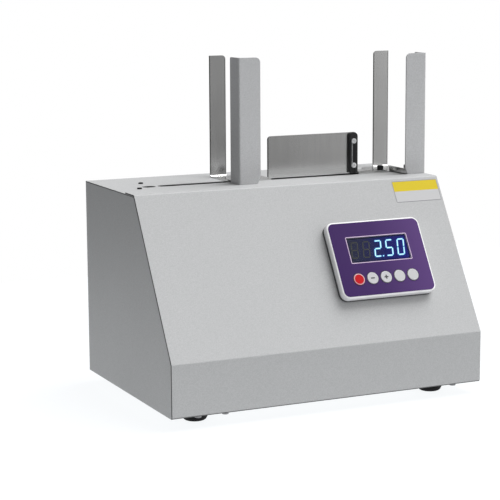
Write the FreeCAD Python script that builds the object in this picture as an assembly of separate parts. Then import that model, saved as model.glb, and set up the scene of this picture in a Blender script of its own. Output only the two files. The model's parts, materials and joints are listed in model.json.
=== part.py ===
import FreeCAD, Part
import math
import os

# Desktop banknote strapping machine: a bent-sheet housing with a sloped front, two sliding
# note guides on its deck, a control panel on the slope, and a paper-tape mechanism inside.
# Millimetres. +X to the user's right, +Y to the back, +Z up.
# Origin: centre of the housing's footprint, on the surface it stands on.

V = FreeCAD.Vector

# ---- housing ----
body_width = 420.0
body_depth = 280.0
deck_depth = 169.0           # level deck, from the top of the slope to the back
body_height = 249.5          # underside of the tray to the top of the front cover
apron_height = 64.6          # upright strip below the slope
foot_height = 15.0
sheet = 1.5
bend_inside = 1.5
lip_depth = 28.0             # front cover's flange on top of the deck
return_flange = 14.0         # front cover's flange under the tray
cover_flange = 12.0          # strips behind the front cover that the side panels lie against
cover_edge = 0.8             # rounding of the front cover's side edges
side_setback = 2.0           # side panels stop this far behind the front cover's face
relief = 0.4                 # clearance of the cut-out at the foot of the front cover's sides
deck_front = 2.5             # deck plate starts this far behind the top of the slope
tray_lip = 12.0
rear_flange = 14.0
rear_screw_radius = 2.0
rear_head_radius = 4.0
rear_head_height = 2.3
front_screw_inset = 7.5
front_screw_x = (-174.0, -139.0, 174.0)

# ---- deck slot ----
slot_width = 14.0
slot_back_offset = 93.0      # slot centre, measured from the back of the housing
slot_left = -148.5
slot_right = 190.0
slot_stub = 17.5             # short dead end beyond the stop bridge
slot_bridge = 3.0            # strip of deck that stops the left guide
deck_screw_radius = 1.8
deck_screw_offsets = ((-9.5, -15.0), (10.6, 32.0))
bracket_sheet = 2.0

# ---- note guides; depths are measured from the slot's centre line ----
guide_gap = 0.2              # running gap between the deck and what slides on it
left_outer = -53.6           # outer face of the left guide at rest
right_outer = 210.0          # outer face of the right guide at rest
post_leg = 29.5
post_side_leg = 27.0
post_sheet = 2.0
post_height = 158.3
post_corner = 6.5
left_post_front = 38.5
right_post_front = 47.0
web_height = 7.5
web_end = 2.5
channel_width = 23.5
plate_sheet = 1.5
plate_front = 7.5
plate_main = 44.5            # width of the base plates where they run back to the rear posts
plate_back = 47.0
arm_depth = 33.0
left_reach = 60.0            # base plate's arm, from the guide's outer face
right_reach = 76.5
rear_post_width = 22.5
rear_post_height = 157.0
rear_post = 53.4
rear_post_corner = 4.8
slider_length = 20.0
slider_side_gap = 0.3
slider_foot_width = 24.0
slider_foot = 8.0
clamp_inset = 40.5           # outer face of the guide to the clamp screw
clamp_screw_radius = 2.0
clamp_head_radius = 4.25
clamp_head_height = 5.5
clamp_socket_radius = 2.2

# ---- fence and end bar ----
fence_left = 3.2
fence_length = 126.3
fence_sheet = 2.0
fence_height = 55.2          # top edge above the deck
fence_lift = 2.2             # clear of the base plates it passes over
fence_corner = 4.3
fence_fold = 26.0            # length of the fold between the fence and its foot strip
fence_foot_end = 47.5        # foot strip beyond the fence's right end
fence_foot_width = 12.0
fence_slot = 28.0            # adjusting slot around the clamp screw
slide_gap = 0.1              # between the foot strip, the plate and the screw's head
bar_width = 11.0
bar_thickness = 5.0
bar_height = 55.4
bar_overhang = 2.0           # the bar's right edge beyond the fence
bar_groove = 5.0
bar_groove_depth = 0.6
bar_screw_inset = 6.3        # from the bar's right edge
bar_screw_radius = 1.5
bar_head_radius = 3.4
bar_head = 2.2
bar_screw_low = 12.3
bar_screw_high = 44.2

# ---- control panel, in slope coordinates: x across, s up the slope, n out of it ----
panel_x = 91.3
panel_s = 106.0
panel_width = 131.0
panel_length = 100.4
panel_height = 12.0
panel_corner = 9.5
panel_edge = 1.4             # rounding of the bezel's front edge
panel_wall = 2.5
overlay_margin = 2.0
overlay_sheet = 0.4
window_width = 84.5
window_length = 33.4
window_x = 91.0
window_s = 117.8
window_sheet = 1.2
module_margin = 2.0
lead_width = 18.0
lead_length = 8.0
lead_gap = 1.0
standoff_inset = 7.0
standoff_radius = 3.0
button_names = ("stop_button", "minus_button", "plus_button", "mode_button", "start_button")
button_count = len(button_names)
button_radius = 7.5
button_pitch = 19.0
button_x = 90.3              # middle button
button_s = 79.3
button_gap = 0.3
button_proud = 0.7
button_skirt = 3.0
button_stem_radius = 2.3
button_travel = 1.2
board_depth = 12.4           # outer face of the cover to the board
board_sheet = 1.6
key_switch = 3.5             # height of the switches under the buttons

# ---- tape mechanism, drawn with its shafts along X and then turned a quarter about Z ----
mechanism_x = 120.0          # where the drawing's Y = 0 lands across the machine
plate_x = 10.0
frame_plate = 3.0
plate_y0, plate_y1 = -70.0, 122.0
plate_top = 246.0
plate_foot = 20.0
tape_width = 12.0
tape_x = 28.0                # left edge of the tape
tape_y = 36.0                # line on which the tape rises between the rollers
reel_y = 55.0
reel_z = 95.0
roll_radius = 58.0
core_radius = 20.0
flange_radius = 60.0
spindle_radius = 5.0
run_clearance = 0.05         # radial, shafts in their bores
feed_radius = 12.0
pinch_radius = 9.0
tape_gap = 0.3
feed_z = 200.0
feed_shaft_radius = 4.0
gear_module = 1.5
gear_teeth = 36
pinion_teeth = 14
gear_width = 8.0
gear_gap = 4.0
motor_radius = 18.5
motor_length = 45.0
motor_shaft_radius = 2.5
pinch_pivot_y = 5.0
pinch_pivot_z = 190.0
arm_sheet = 3.0
pivot_pin_radius = 4.0
pinch_pin_radius = 3.0
seal_z0, seal_z1 = 224.0, 240.0
seal_y1 = 32.0
head_length = 18.0
plunger_radius = 4.0
solenoid_y0, solenoid_y1 = -42.0, -4.0
guide_face_y = 36.6          # face of the tape guide that the sealing head closes on
tape_guide_top = 250.0

# ---- feet ----
foot_radius = 17.0
foot_shoulder_z = 8.0
foot_inset_x = 47.5
foot_inset_y = 44.0
foot_tip_radius = 13.0
foot_recess_radius = 5.5
foot_recess = 7.0
foot_screw_radius = 2.5

# ---- rear cover: door opening, mains inlet, switch and vents ----
door_gap = 0.4
door_x0, door_x1 = -5.0, 135.0
door_z0, door_z1 = 28.0, 192.0
door_overlap = 6.0
pull_depth = 12.0
pull_inset = 14.0
inlet_x, inlet_z = -160.0, 52.0
inlet_width, inlet_height = 27.0, 20.0
inlet_depth = 22.0
inlet_flange = 3.0
socket_depth = 17.0
switch_x, switch_z = -108.0, 52.0
switch_width, switch_height = 17.0, 24.0
rocker_pivot = 2.0           # depth of the rocker's pivot behind the rear cover's face
rocker_half_width = 6.6
rocker_half_height = 9.0
trunnion_radius = 1.2
vent_count = 9
vent_pitch = 12.0
vent_width = 3.0
vent_height = 46.0
rear_vent_x, rear_vent_z = -170.0, 150.0
tray_vent_x = -80.0
tray_vent_y0, tray_vent_y1 = -60.0, -20.0

# ---- door hinges ----
hinge_offset = 4.0
hinge_height = 3.6
hinge_leaf = 1.2
knuckle_radius = 3.0
knuckle_length = 10.0
knuckle_gap = 0.3
hinge_pin_radius = 1.5
hinge_levels = (62.0, 158.0)

# ---- power supply ----
core_x, core_y = -150.0, -60.0
core_width, core_depth, core_height = 66.0, 30.0, 58.0
core_limb = 11.0

# ---- derived places ----
half_width = body_width / 2
rear_proud = door_gap + sheet + pull_depth
front_y = -(body_depth + rear_proud) / 2
back_y = front_y + body_depth
base_z = foot_height
tray_z = base_z + sheet
top_z = base_z + body_height
deck_z = top_z - sheet
under_deck_z = deck_z - sheet
apron_z = base_z + apron_height
edge_y = back_y - deck_depth
inner_x = half_width - sheet
slot_y = back_y - slot_back_offset
slope_run = edge_y - front_y
slope_rise = top_z - apron_z
slope_lean = math.degrees(math.atan2(slope_run, slope_rise))
stub_left = slot_left - slot_bridge - slot_stub
guide_z = deck_z + guide_gap
guide_middle = (left_outer + right_outer) / 2
clamp_x = left_outer + clamp_inset
tape_mid_x = tape_x + tape_width / 2
tape_right = tape_x + tape_width
plate_face_x = plate_x + frame_plate
gear_x = plate_x - gear_gap - gear_width
feed_y = tape_y + tape_gap / 2 + feed_radius
pinch_y = tape_y - tape_gap / 2 - pinch_radius
motor_y = feed_y + gear_module * (gear_teeth + pinion_teeth) / 2
motor_z = feed_z
seal_z = (seal_z0 + seal_z1) / 2
plate_front_y = slot_y - plate_front
fence_z = deck_z + fence_lift
fence_right = fence_left + fence_length
fence_front_y = slot_y - fence_sheet
foot_strip_z = guide_z + plate_sheet + slide_gap
bar_x1 = fence_right + bar_overhang
bar_screw_x = bar_x1 - bar_screw_inset
bar_screw_levels = (deck_z + bar_screw_low, deck_z + bar_screw_high)
panel_top = panel_height + overlay_sheet
floor_z = tray_z + sheet
hinge_x = door_x1 + hinge_offset
hinge_y = back_y + hinge_height
rocker_y = back_y - rocker_pivot


# ---- shape helpers ----
def block(x0, x1, y0, y1, z0, z1):
    return Part.makeBox(x1 - x0, y1 - y0, z1 - z0, V(x0, y0, z0))


def rod(radius, start, end):
    axis = end.sub(start)
    return Part.makeCylinder(radius, axis.Length, start, axis)


def on_yz(x):
    return lambda a, b: V(x, a, b)


def on_xz(y):
    return lambda a, b: V(a, y, b)


def on_xy(z):
    return lambda a, b: V(a, b, z)


def corner_arc(before, point, after, radius):
    """Start, middle and end of the arc that rounds one corner."""
    u = FreeCAD.Vector(before[0] - point[0], before[1] - point[1], 0).normalize()
    w = FreeCAD.Vector(after[0] - point[0], after[1] - point[1], 0).normalize()
    half = u.getAngle(w) / 2
    reach = radius / math.tan(half)
    middle = u.add(w).normalize()
    centre_at = radius / math.sin(half)
    corner = V(point[0], point[1], 0)
    ends = [corner.add(V(u).multiply(reach)), corner.add(V(w).multiply(reach))]
    return ends[0], corner.add(V(middle).multiply(centre_at - radius)), ends[1]


def outline(points, place):
    """Closed wire through (a, b) or (a, b, corner radius) points on a plane."""
    stops = []
    count = len(points)
    for i, point in enumerate(points):
        radius = point[2] if len(point) > 2 else 0
        if radius > 0:
            stops.append(corner_arc(points[i - 1], point, points[(i + 1) % count], radius))
        else:
            corner = V(point[0], point[1], 0)
            stops.append((corner, None, corner))
    edges = []
    for i, (start, middle, end) in enumerate(stops):
        previous = stops[i - 1][2]
        if previous.distanceToPoint(start) > 1e-6:
            line = Part.LineSegment(place(previous.x, previous.y), place(start.x, start.y))
            edges.append(line.toShape())
        if middle is not None:
            arc = Part.Arc(place(start.x, start.y), place(middle.x, middle.y), place(end.x, end.y))
            edges.append(arc.toShape())
    return Part.Wire(edges)


def prism(points, place, along):
    return Part.Face(outline(points, place)).extrude(along)


def offset_path(path, distance):
    """The path moved to its left by a distance, with mitred corners."""
    normals = []
    for start, end in zip(path, path[1:]):
        length = math.hypot(end[0] - start[0], end[1] - start[1])
        normals.append((-(end[1] - start[1]) / length, (end[0] - start[0]) / length))
    moved = []
    for i, point in enumerate(path):
        before = normals[max(i - 1, 0)]
        after = normals[min(i, len(normals) - 1)]
        scale = distance / (1 + before[0] * after[0] + before[1] * after[1])
        moved.append((point[0] + (before[0] + after[0]) * scale,
                      point[1] + (before[1] + after[1]) * scale))
    return moved


def bent_sheet(path, thickness, place, along, inside=bend_inside):
    """A folded sheet: its outer face follows the path, its thickness lies to the path's left."""
    inner = offset_path(path, thickness)
    face_points = []
    back_points = []
    for i in range(len(path)):
        radii = (0, 0)
        if 0 < i < len(path) - 1:
            a, b, c = path[i - 1], path[i], path[i + 1]
            turn = (b[0] - a[0]) * (c[1] - b[1]) - (b[1] - a[1]) * (c[0] - b[0])
            outside = inside + abs(thickness)
            radii = (outside, inside) if turn * thickness > 0 else (inside, outside)
        face_points.append((path[i][0], path[i][1], radii[0]))
        back_points.append((inner[i][0], inner[i][1], radii[1]))
    return prism(face_points + back_points[::-1], place, along)


def rectangle(x0, x1, y0, y1, corner):
    return [(x0, y0, corner), (x1, y0, corner), (x1, y1, corner), (x0, y1, corner)]


def slot_points(x0, x1, y, width):
    return rectangle(x0, x1, y - width / 2, y + width / 2, width / 2 - 0.01)


def mirrored(shape, x):
    return shape.mirror(V(x, 0, 0), V(1, 0, 0))


def screw(tip, head_at, head_radius, head_height, shank_radius, socket=0):
    """A screw with its head on head_at and its shank down to tip."""
    axis = head_at.sub(tip).normalize()
    top = head_at.add(V(axis).multiply(head_height))
    shape = rod(shank_radius, tip, head_at).fuse(rod(head_radius, head_at, top))
    if socket:
        shape = shape.cut(rod(socket, head_at.add(V(axis).multiply(head_height * 0.45)), top))
    return shape.removeSplitter()


def on_slope(shape):
    """Moves a shape from slope coordinates (x, s, n) to the housing's slope."""
    turn = FreeCAD.Rotation(V(1, 0, 0), 90 - slope_lean)
    placed = shape.copy()
    placed.Placement = FreeCAD.Placement(V(0, front_y, apron_z), turn).multiply(placed.Placement)
    return placed


def group(shapes):
    return Part.makeCompound(shapes)


def in_machine(shape):
    """Turns a mechanism shape so that its shafts run along Y and its tape lies under the slot."""
    placed = shape.copy()
    quarter = FreeCAD.Rotation(V(0, 0, 1), 90)
    move = FreeCAD.Placement(V(mechanism_x, slot_y - tape_mid_x, 0), quarter)
    placed.Placement = move.multiply(placed.Placement)
    return placed


# ---- housing ----
def slope_y(z, depth=0.0):
    """Y of the slope's face at a height, or of a plane that lies deeper behind it."""
    lean = math.radians(slope_lean)
    return front_y + (z - apron_z) * math.tan(lean) + depth / math.cos(lean)


def knee_z(depth):
    """Height at which an inner offset of the apron meets the offset of the slope."""
    lean = math.radians(slope_lean)
    return apron_z - (depth / math.cos(lean) - depth) / math.tan(lean)


def front_strip(depth_from, depth_to, z0, z1):
    """Outline of a strip that follows the apron and the slope between two depths."""
    near_y, far_y = front_y + depth_from, front_y + depth_to
    near = [(near_y, z0), (near_y, knee_z(depth_from)), (slope_y(z1, depth_from), z1)]
    far = [(far_y, z0), (far_y, knee_z(depth_to)), (slope_y(z1, depth_to), z1)]
    return near + far[::-1]


def front_cover():
    """Lip, slope, apron and return flange in one bent sheet, as wide as the housing."""
    path = [(edge_y + lip_depth, top_z), (edge_y, top_z), (front_y, apron_z), (front_y, base_z),
            (front_y + return_flange, base_z)]
    cover = bent_sheet(path, sheet, on_yz(-half_width), V(body_width, 0, 0))
    edges = [e for e in cover.Edges if abs(abs(e.CenterOfMass.x) - half_width) < 1e-6 and on_cover_face(e)]
    cover = cover.makeFillet(cover_edge, edges)
    flange_points = front_strip(sheet, cover_flange, tray_z + 2 * sheet, under_deck_z - sheet)
    for x in (-inner_x, inner_x - sheet):
        cover = cover.fuse(prism(flange_points, on_yz(x), V(sheet, 0, 0)))
    cuts = []
    for side in (-1, 1):
        x0, x1 = sorted((side * (inner_x - relief), side * (half_width + 1)))
        cuts.append(block(x0, x1, front_y + side_setback - relief, front_y + return_flange + 1,
                          base_z - 1, base_z + 2 * bend_inside + 1))
    for x in button_places():
        cuts.append(on_slope(rod(button_stem_radius + 0.5, V(x, button_s, -9), V(x, button_s, 9))))
    lead = panel_rectangle(lead_width + 2 * lead_gap, lead_length + 2 * lead_gap, window_x, window_s, 2)
    cuts.append(on_slope(prism(lead, on_xy(-9), V(0, 0, 18))))
    for x, s in standoff_places():
        cuts.append(on_slope(rod(1.0, V(x, s, -9), V(x, s, -sheet / 2))))
    for x, y in front_screw_places():
        cuts.append(rod(rear_screw_radius + run_clearance, V(x, y, base_z - 5), V(x, y, tray_z + 5)))
    return cover.removeSplitter().cut(group(cuts))


def on_cover_face(edge):
    """True for edges on the straight runs of the cover's outer face."""
    centre = edge.CenterOfMass
    if len(edge.Vertexes) != 2:
        return False
    span = edge.Vertexes[0].Point.distanceToPoint(edge.Vertexes[1].Point)
    on_face = abs(centre.y - front_y) < 1e-4 or abs(centre.y - slope_y(centre.z)) < 1e-3
    return on_face and abs(edge.Length - span) < 1e-6


def side_panel(outer_x, inward):
    points = [(front_y + side_setback, base_z), (front_y + side_setback, knee_z(side_setback)),
              (slope_y(under_deck_z, side_setback), under_deck_z), (back_y, under_deck_z), (back_y, base_z)]
    panel = prism(points, on_yz(outer_x), V(inward * sheet, 0, 0))
    near = outer_x + inward * sheet
    far = near + inward * tray_lip
    x0, x1 = min(near, far), max(near, far)
    flange_back = back_y - 2 * sheet
    panel = panel.fuse(block(x0, x1, flange_back, flange_back + sheet, tray_z + tray_lip + 2,
                             under_deck_z - tray_lip - 4))
    panel = panel.fuse(block(x0, x1, front_y + return_flange + 2, flange_back, base_z, tray_z))
    panel = panel.fuse(block(x0, x1, edge_y + 12, flange_back - 4, under_deck_z - sheet, under_deck_z))
    cuts = []
    for x, z in rear_screw_places():
        if x * outer_x > 0:
            cuts.append(rod(rear_screw_radius + run_clearance, V(x, back_y - 12, z), V(x, back_y - sheet, z)))
    return panel.removeSplitter().cut(group(cuts))


def deck_plate():
    plate = block(-half_width, half_width, edge_y + deck_front, back_y, under_deck_z, deck_z)
    flange_x = inner_x - tray_lip - 2
    plate = plate.fuse(block(-flange_x, flange_x, back_y - 2 * sheet, back_y - sheet,
                             under_deck_z - rear_flange, under_deck_z))
    plate = plate.removeSplitter()
    for x0, x1 in ((slot_left, slot_right), (stub_left, stub_left + slot_stub)):
        points = slot_points(x0, x1, slot_y, slot_width)
        plate = plate.cut(prism(points, on_xy(under_deck_z - 1), V(0, 0, 4)))
    return plate.cut(group(deck_screw_holes()))


def deck_screw_places():
    return [(stub_left + dx, slot_y + dy) for dx, dy in deck_screw_offsets]


def deck_screw_holes():
    return [rod(deck_screw_radius + run_clearance, V(x, y, under_deck_z - 4), V(x, y, deck_z + 1))
            for x, y in deck_screw_places()]


def deck_bracket():
    """Stiffener under the deck around the slot's closed left end."""
    points = rectangle(stub_left - 18, stub_left + 20, slot_y - 24, slot_y + 42, 3)
    bracket = prism(points, on_xy(under_deck_z - bracket_sheet), V(0, 0, bracket_sheet))
    bracket = bracket.cut(block(stub_left - 3, stub_left + 30, slot_y - 10, slot_y + slot_width,
                                under_deck_z - 5, under_deck_z + 1))
    return bracket.cut(group(deck_screw_holes()))


def deck_screws():
    return group([screw(V(x, y, under_deck_z - 5), V(x, y, deck_z), 3.0, 1.6, deck_screw_radius, 1.2)
                  for x, y in deck_screw_places()])


def rear_cover():
    cover = block(-inner_x, inner_x, back_y - sheet, back_y, base_z, under_deck_z)
    through = V(0, 4 * sheet, 0)
    cuts = [prism(rectangle(door_x0 + door_overlap, door_x1 - door_overlap, door_z0 + door_overlap,
                            door_z1 - door_overlap, 4), on_xz(back_y - 2 * sheet), through)]
    cuts.append(block(inlet_x - inlet_width / 2, inlet_x + inlet_width / 2, back_y - 9, back_y + 9,
                      inlet_z - inlet_height / 2, inlet_z + inlet_height / 2))
    cuts.append(block(switch_x - switch_width / 2, switch_x + switch_width / 2, back_y - 9, back_y + 9,
                      switch_z - switch_height / 2, switch_z + switch_height / 2))
    for i in range(vent_count):
        x = rear_vent_x + i * vent_pitch
        points = rectangle(x - vent_width / 2, x + vent_width / 2, rear_vent_z, rear_vent_z + vent_height,
                           vent_width / 2 - 0.01)
        cuts.append(prism(points, on_xz(back_y - 2 * sheet), through))
    for x, z in rear_screw_places():
        cuts.append(rod(rear_screw_radius + run_clearance, V(x, back_y - 9, z), V(x, back_y + 9, z)))
    return cover.cut(group(cuts))


def rear_screw_places():
    x = inner_x - tray_lip / 2
    levels = (tray_z + 30, (tray_z + under_deck_z) / 2, under_deck_z - 24)
    return [(side * x, z) for side in (-1, 1) for z in levels]


def front_screw_places():
    return [(x, front_y + front_screw_inset) for x in front_screw_x]


def housing_screw(tip, head_at):
    return screw(tip, head_at, rear_head_radius, rear_head_height, rear_screw_radius, 1.4)


def housing_screws():
    """Identical pan-head screws: through the rear cover, and up through the tray's front edge."""
    rear = [housing_screw(V(x, back_y - 2 * sheet - 4, z), V(x, back_y, z)) for x, z in rear_screw_places()]
    front = [housing_screw(V(x, y, base_z + 2 * sheet + 4), V(x, y, base_z)) for x, y in front_screw_places()]
    return group(rear + front)


def foot_places():
    x = half_width - foot_inset_x
    return [(side * x, y) for side in (-1, 1) for y in (front_y + foot_inset_y, back_y - foot_inset_y)]


def base_tray():
    floor = block(-inner_x, inner_x, front_y + 2 * sheet, back_y - sheet, tray_z, tray_z + sheet)
    lip_top = tray_z + tray_lip
    side_front = front_y + cover_flange + 4
    side_back = back_y - 2 * sheet
    floor = floor.fuse(block(-inner_x, -inner_x + sheet, side_front, side_back, tray_z, lip_top))
    floor = floor.fuse(block(inner_x - sheet, inner_x, side_front, side_back, tray_z, lip_top))
    floor = floor.fuse(block(-inner_x + 8, inner_x - 8, back_y - 2 * sheet, back_y - sheet, tray_z, lip_top))
    holes = [rod(foot_screw_radius + run_clearance, V(x, y, tray_z - 5), V(x, y, tray_z + 5))
             for x, y in foot_places()]
    holes += [rod(rear_screw_radius + run_clearance, V(x, y, tray_z - 5), V(x, y, tray_z + 5))
              for x, y in front_screw_places()]
    for i in range(vent_count):
        x = tray_vent_x + i * vent_pitch * 2
        points = rectangle(x - 2, x + 2, tray_vent_y0, tray_vent_y1, 1.9)
        holes.append(prism(points, on_xy(tray_z - 1), V(0, 0, 4)))
    return floor.removeSplitter().cut(group(holes))


def rubber_feet():
    """Straight sides, a rounded tip and a recess for the screw's head."""
    profile = [(0.0, tray_z), (foot_radius, tray_z), (foot_radius, foot_shoulder_z, 2),
               (foot_tip_radius, 0.0, 5), (0.0, 0.0)]
    face = Part.Face(outline(profile, on_xz(0)))
    dome = face.revolve(V(0, 0, 0), V(0, 0, 1), 360)
    dome = dome.cut(rod(foot_recess_radius, V(0, 0, -1), V(0, 0, foot_recess)))
    dome = dome.cut(rod(foot_screw_radius + run_clearance, V(0, 0, 0), V(0, 0, tray_z + 1)))
    feet = []
    for x, y in foot_places():
        foot = dome.copy()
        foot.translate(V(x, y, 0))
        feet.append(foot)
    return group(feet)


def foot_screws():
    return group([screw(V(x, y, floor_z + 4), V(x, y, foot_recess), 4.5, 3.0, foot_screw_radius, 2.0)
                  for x, y in foot_places()])


# ---- note guides: built at the left, and mirrored for the right ----
def front_post(forward):
    """Painted angle that stands forward of the slot: one leg across, one leg running back."""
    x0, x1 = left_outer, left_outer + post_leg
    y0, y1 = slot_y - forward, slot_y - forward + post_side_leg
    z0, z1 = guide_z, deck_z + post_height
    cross_leg = prism([(x0, z0), (x1 - 4, z0), (x1, z0 + 10), (x1, z1, post_corner), (x0, z1)],
                      on_xz(y0), V(0, post_sheet, 0))
    side_leg = prism([(y0, z0), (y1, z0), (y1, z1, 2.5), (y0, z1)], on_yz(x0), V(post_sheet, 0, 0))
    post = cross_leg.fuse(side_leg).removeSplitter()
    corner = [e for e in post.Edges if abs(e.BoundBox.XMax - x0) < 1e-6 and abs(e.BoundBox.YMax - y0) < 1e-6
              and e.BoundBox.ZLength > post_height * 0.8]
    return post.makeFillet(post_sheet * 0.9, corner)


def guide_channel(forward):
    """Low channel that joins the front post to the base plate."""
    x0 = left_outer + post_sheet
    x1 = x0 + channel_width
    y0, y1 = slot_y - forward + post_sheet, slot_y + web_end
    top = guide_z + web_height
    path = [(x0, top), (x0, guide_z), (x1, guide_z), (x1, top)]
    channel = bent_sheet(path, plate_sheet, on_xz(y0), V(0, y1 - y0, 0), inside=1.0)
    return channel.cut(block(x0 - 1, x1 + 1, plate_front_y - 0.1, y1 + 1, guide_z - 1, guide_z + plate_sheet))


def guide_plate(reach):
    """Base plate with the rear post bent up from its back edge."""
    x0, x1 = left_outer, left_outer + reach
    y0 = plate_front_y
    back = slot_y + plate_back
    rear_y = slot_y + rear_post
    base = prism([(x0, y0), (x1, y0, 2), (x1, y0 + arm_depth, 4), (x0 + plate_main, y0 + arm_depth),
                  (x0 + plate_main, back, 4), (x0, back)], on_xy(guide_z), V(0, 0, plate_sheet))
    top = deck_z + rear_post_height
    path = [(y0 + 10, guide_z), (rear_y, guide_z), (rear_y, top)]
    post = bent_sheet(path, plate_sheet, on_yz(x0), V(rear_post_width, 0, 0))
    trim_x = x0 + rear_post_width
    corner = prism([(x0 - 1, deck_z - 1), (trim_x, deck_z - 1), (trim_x, top, rear_post_corner), (x0 - 1, top)],
                   on_xz(y0), V(0, rear_y + 10 - y0, 0))
    plate = base.fuse(post.common(corner)).removeSplitter()
    return plate.cut(rod(clamp_screw_radius + run_clearance, V(clamp_x, slot_y, guide_z - 1),
                         V(clamp_x, slot_y, guide_z + 9)))


def guide_slider():
    """T-shaped slide in the deck slot, pulled up under the deck by the clamp screw."""
    x0 = clamp_x - slider_length / 2
    x1 = x0 + slider_length
    half = slot_width / 2 - slider_side_gap
    neck = block(x0, x1, slot_y - half, slot_y + half, under_deck_z - guide_gap, guide_z)
    foot_half = slider_foot_width / 2
    foot_z = under_deck_z - guide_gap - slider_foot
    points = rectangle(x0, x1, slot_y - foot_half, slot_y + foot_half, 2)
    foot = prism(points, on_xy(foot_z), V(0, 0, slider_foot))
    hole = rod(clamp_screw_radius + run_clearance, V(clamp_x, slot_y, foot_z + 1), V(clamp_x, slot_y, guide_z + 1))
    return neck.fuse(foot).removeSplitter().cut(hole)


def clamp_screw(head_z):
    tip = under_deck_z - slider_foot + 2
    return screw(V(clamp_x, slot_y, tip), V(clamp_x, slot_y, head_z), clamp_head_radius, clamp_head_height,
                 clamp_screw_radius, clamp_socket_radius)


def on_right(shape):
    return mirrored(shape, guide_middle)


# ---- fence ----
def bar_screw_holes():
    return [rod(bar_screw_radius + run_clearance, V(bar_screw_x, fence_front_y - 9, z), V(bar_screw_x, slot_y + 9, z))
            for z in bar_screw_levels]


def fence_plate():
    """Upright plate with a foot strip that slides on the right base plate under the clamp screw."""
    z1 = deck_z + fence_height
    upright = prism([(fence_left, fence_z, 1.5), (fence_right, fence_z), (fence_right, z1),
                     (fence_left, z1, fence_corner)], on_xz(fence_front_y), V(0, fence_sheet, 0))
    strip_back = fence_front_y + fence_foot_width
    strip_front = fence_front_y - 4
    z0 = foot_strip_z
    path = [(strip_back, z0), (fence_front_y, z0), (fence_front_y, z0 + 12)]
    folded = bent_sheet(path, -plate_sheet, on_yz(fence_right - fence_fold), V(fence_fold, 0, 0), inside=1.0)
    end = fence_right + fence_foot_end
    run = prism([(fence_right - 3, fence_front_y + 3), (bar_x1 + 2, fence_front_y + 3),
                 (bar_x1 + 2, strip_front), (end, strip_front, 4), (end, strip_back, 4),
                 (fence_right - 3, strip_back)], on_xy(z0), V(0, 0, plate_sheet))
    plate = upright.fuse(folded).fuse(run).removeSplitter()
    slot_end = right_outer - clamp_inset + clamp_screw_radius + 1.5
    slot = prism(slot_points(slot_end - fence_slot, slot_end, slot_y, 2 * clamp_screw_radius + 1.0),
                 on_xy(z0 - 1), V(0, 0, plate_sheet + 2))
    return plate.cut(slot).cut(group(bar_screw_holes()))


def end_bar():
    """Moulded bar screwed to the front of the fence's right end: full round top, shallow groove."""
    x0 = bar_x1 - bar_width
    z0, z1 = fence_z, deck_z + bar_height
    radius = bar_width / 2 - 0.01
    face_y = fence_front_y - bar_thickness
    bar = prism([(x0, z0), (bar_x1, z0), (bar_x1, z1, radius), (x0, z1, radius)], on_xz(face_y),
                V(0, bar_thickness, 0))
    groove = block(bar_screw_x - bar_groove / 2, bar_screw_x + bar_groove / 2, face_y - 1,
                   face_y + bar_groove_depth, z0 - 1, bar_screw_levels[1])
    return bar.cut(groove).cut(group(bar_screw_holes()))


def end_bar_screws():
    y = fence_front_y - bar_thickness
    return group([screw(V(bar_screw_x, slot_y, z), V(bar_screw_x, y, z), bar_head_radius, bar_head,
                        bar_screw_radius, 1.2) for z in bar_screw_levels])


# ---- control panel ----
def panel_rectangle(width, length, x, s, corner):
    return rectangle(x - width / 2, x + width / 2, s - length / 2, s + length / 2, corner)


def button_places():
    return [button_x + (i - (button_count - 1) / 2) * button_pitch for i in range(button_count)]


def panel_openings():
    """Window and button holes, as solids to cut from the bezel and the overlay."""
    far = panel_top + 1
    points = panel_rectangle(window_width, window_length, window_x, window_s, 1)
    window = prism(points, on_xy(-1), V(0, 0, far + 1))
    return group([window] + [rod(button_radius + button_gap, V(x, button_s, -1), V(x, button_s, far))
                             for x in button_places()])


def panel_bezel():
    """Moulded frame with a rounded front edge, hollow behind its face, with four bosses."""
    points = panel_rectangle(panel_width, panel_length, panel_x, panel_s, panel_corner)
    bezel = prism(points, on_xy(0), V(0, 0, panel_height))
    bezel = bezel.makeFillet(panel_edge, [e for e in bezel.Edges if e.BoundBox.ZMin > panel_height - 1e-3])
    inside = 2 * panel_wall
    points = panel_rectangle(panel_width - inside, panel_length - inside, panel_x, panel_s, panel_corner - panel_wall)
    bezel = bezel.cut(prism(points, on_xy(-1), V(0, 0, panel_height - panel_wall + 1)))
    for x, s in standoff_places():
        bezel = bezel.fuse(rod(standoff_radius, V(x, s, 0), V(x, s, panel_height - 1)))
    return on_slope(bezel.removeSplitter().cut(panel_openings()))


def panel_overlay():
    margin = 2 * overlay_margin
    points = panel_rectangle(panel_width - margin, panel_length - margin, panel_x, panel_s,
                             panel_corner - overlay_margin)
    return on_slope(prism(points, on_xy(panel_height), V(0, 0, overlay_sheet)).cut(panel_openings()))


def display_window():
    points = panel_rectangle(window_width, window_length, window_x, window_s, 1)
    return on_slope(prism(points, on_xy(panel_top - window_sheet), V(0, 0, window_sheet)))


def display_module():
    """Liquid-crystal module on the cover, with its connector through the cover to the board."""
    width, length = window_width - 2 * module_margin, window_length - 2 * module_margin
    points = panel_rectangle(width, length, window_x, window_s, 1)
    module = prism(points, on_xy(0), V(0, 0, panel_top - window_sheet))
    points = panel_rectangle(lead_width, lead_length, window_x, window_s, 1)
    lead = prism(points, on_xy(-board_depth), V(0, 0, board_depth))
    return on_slope(module.fuse(lead).removeSplitter())


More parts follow.
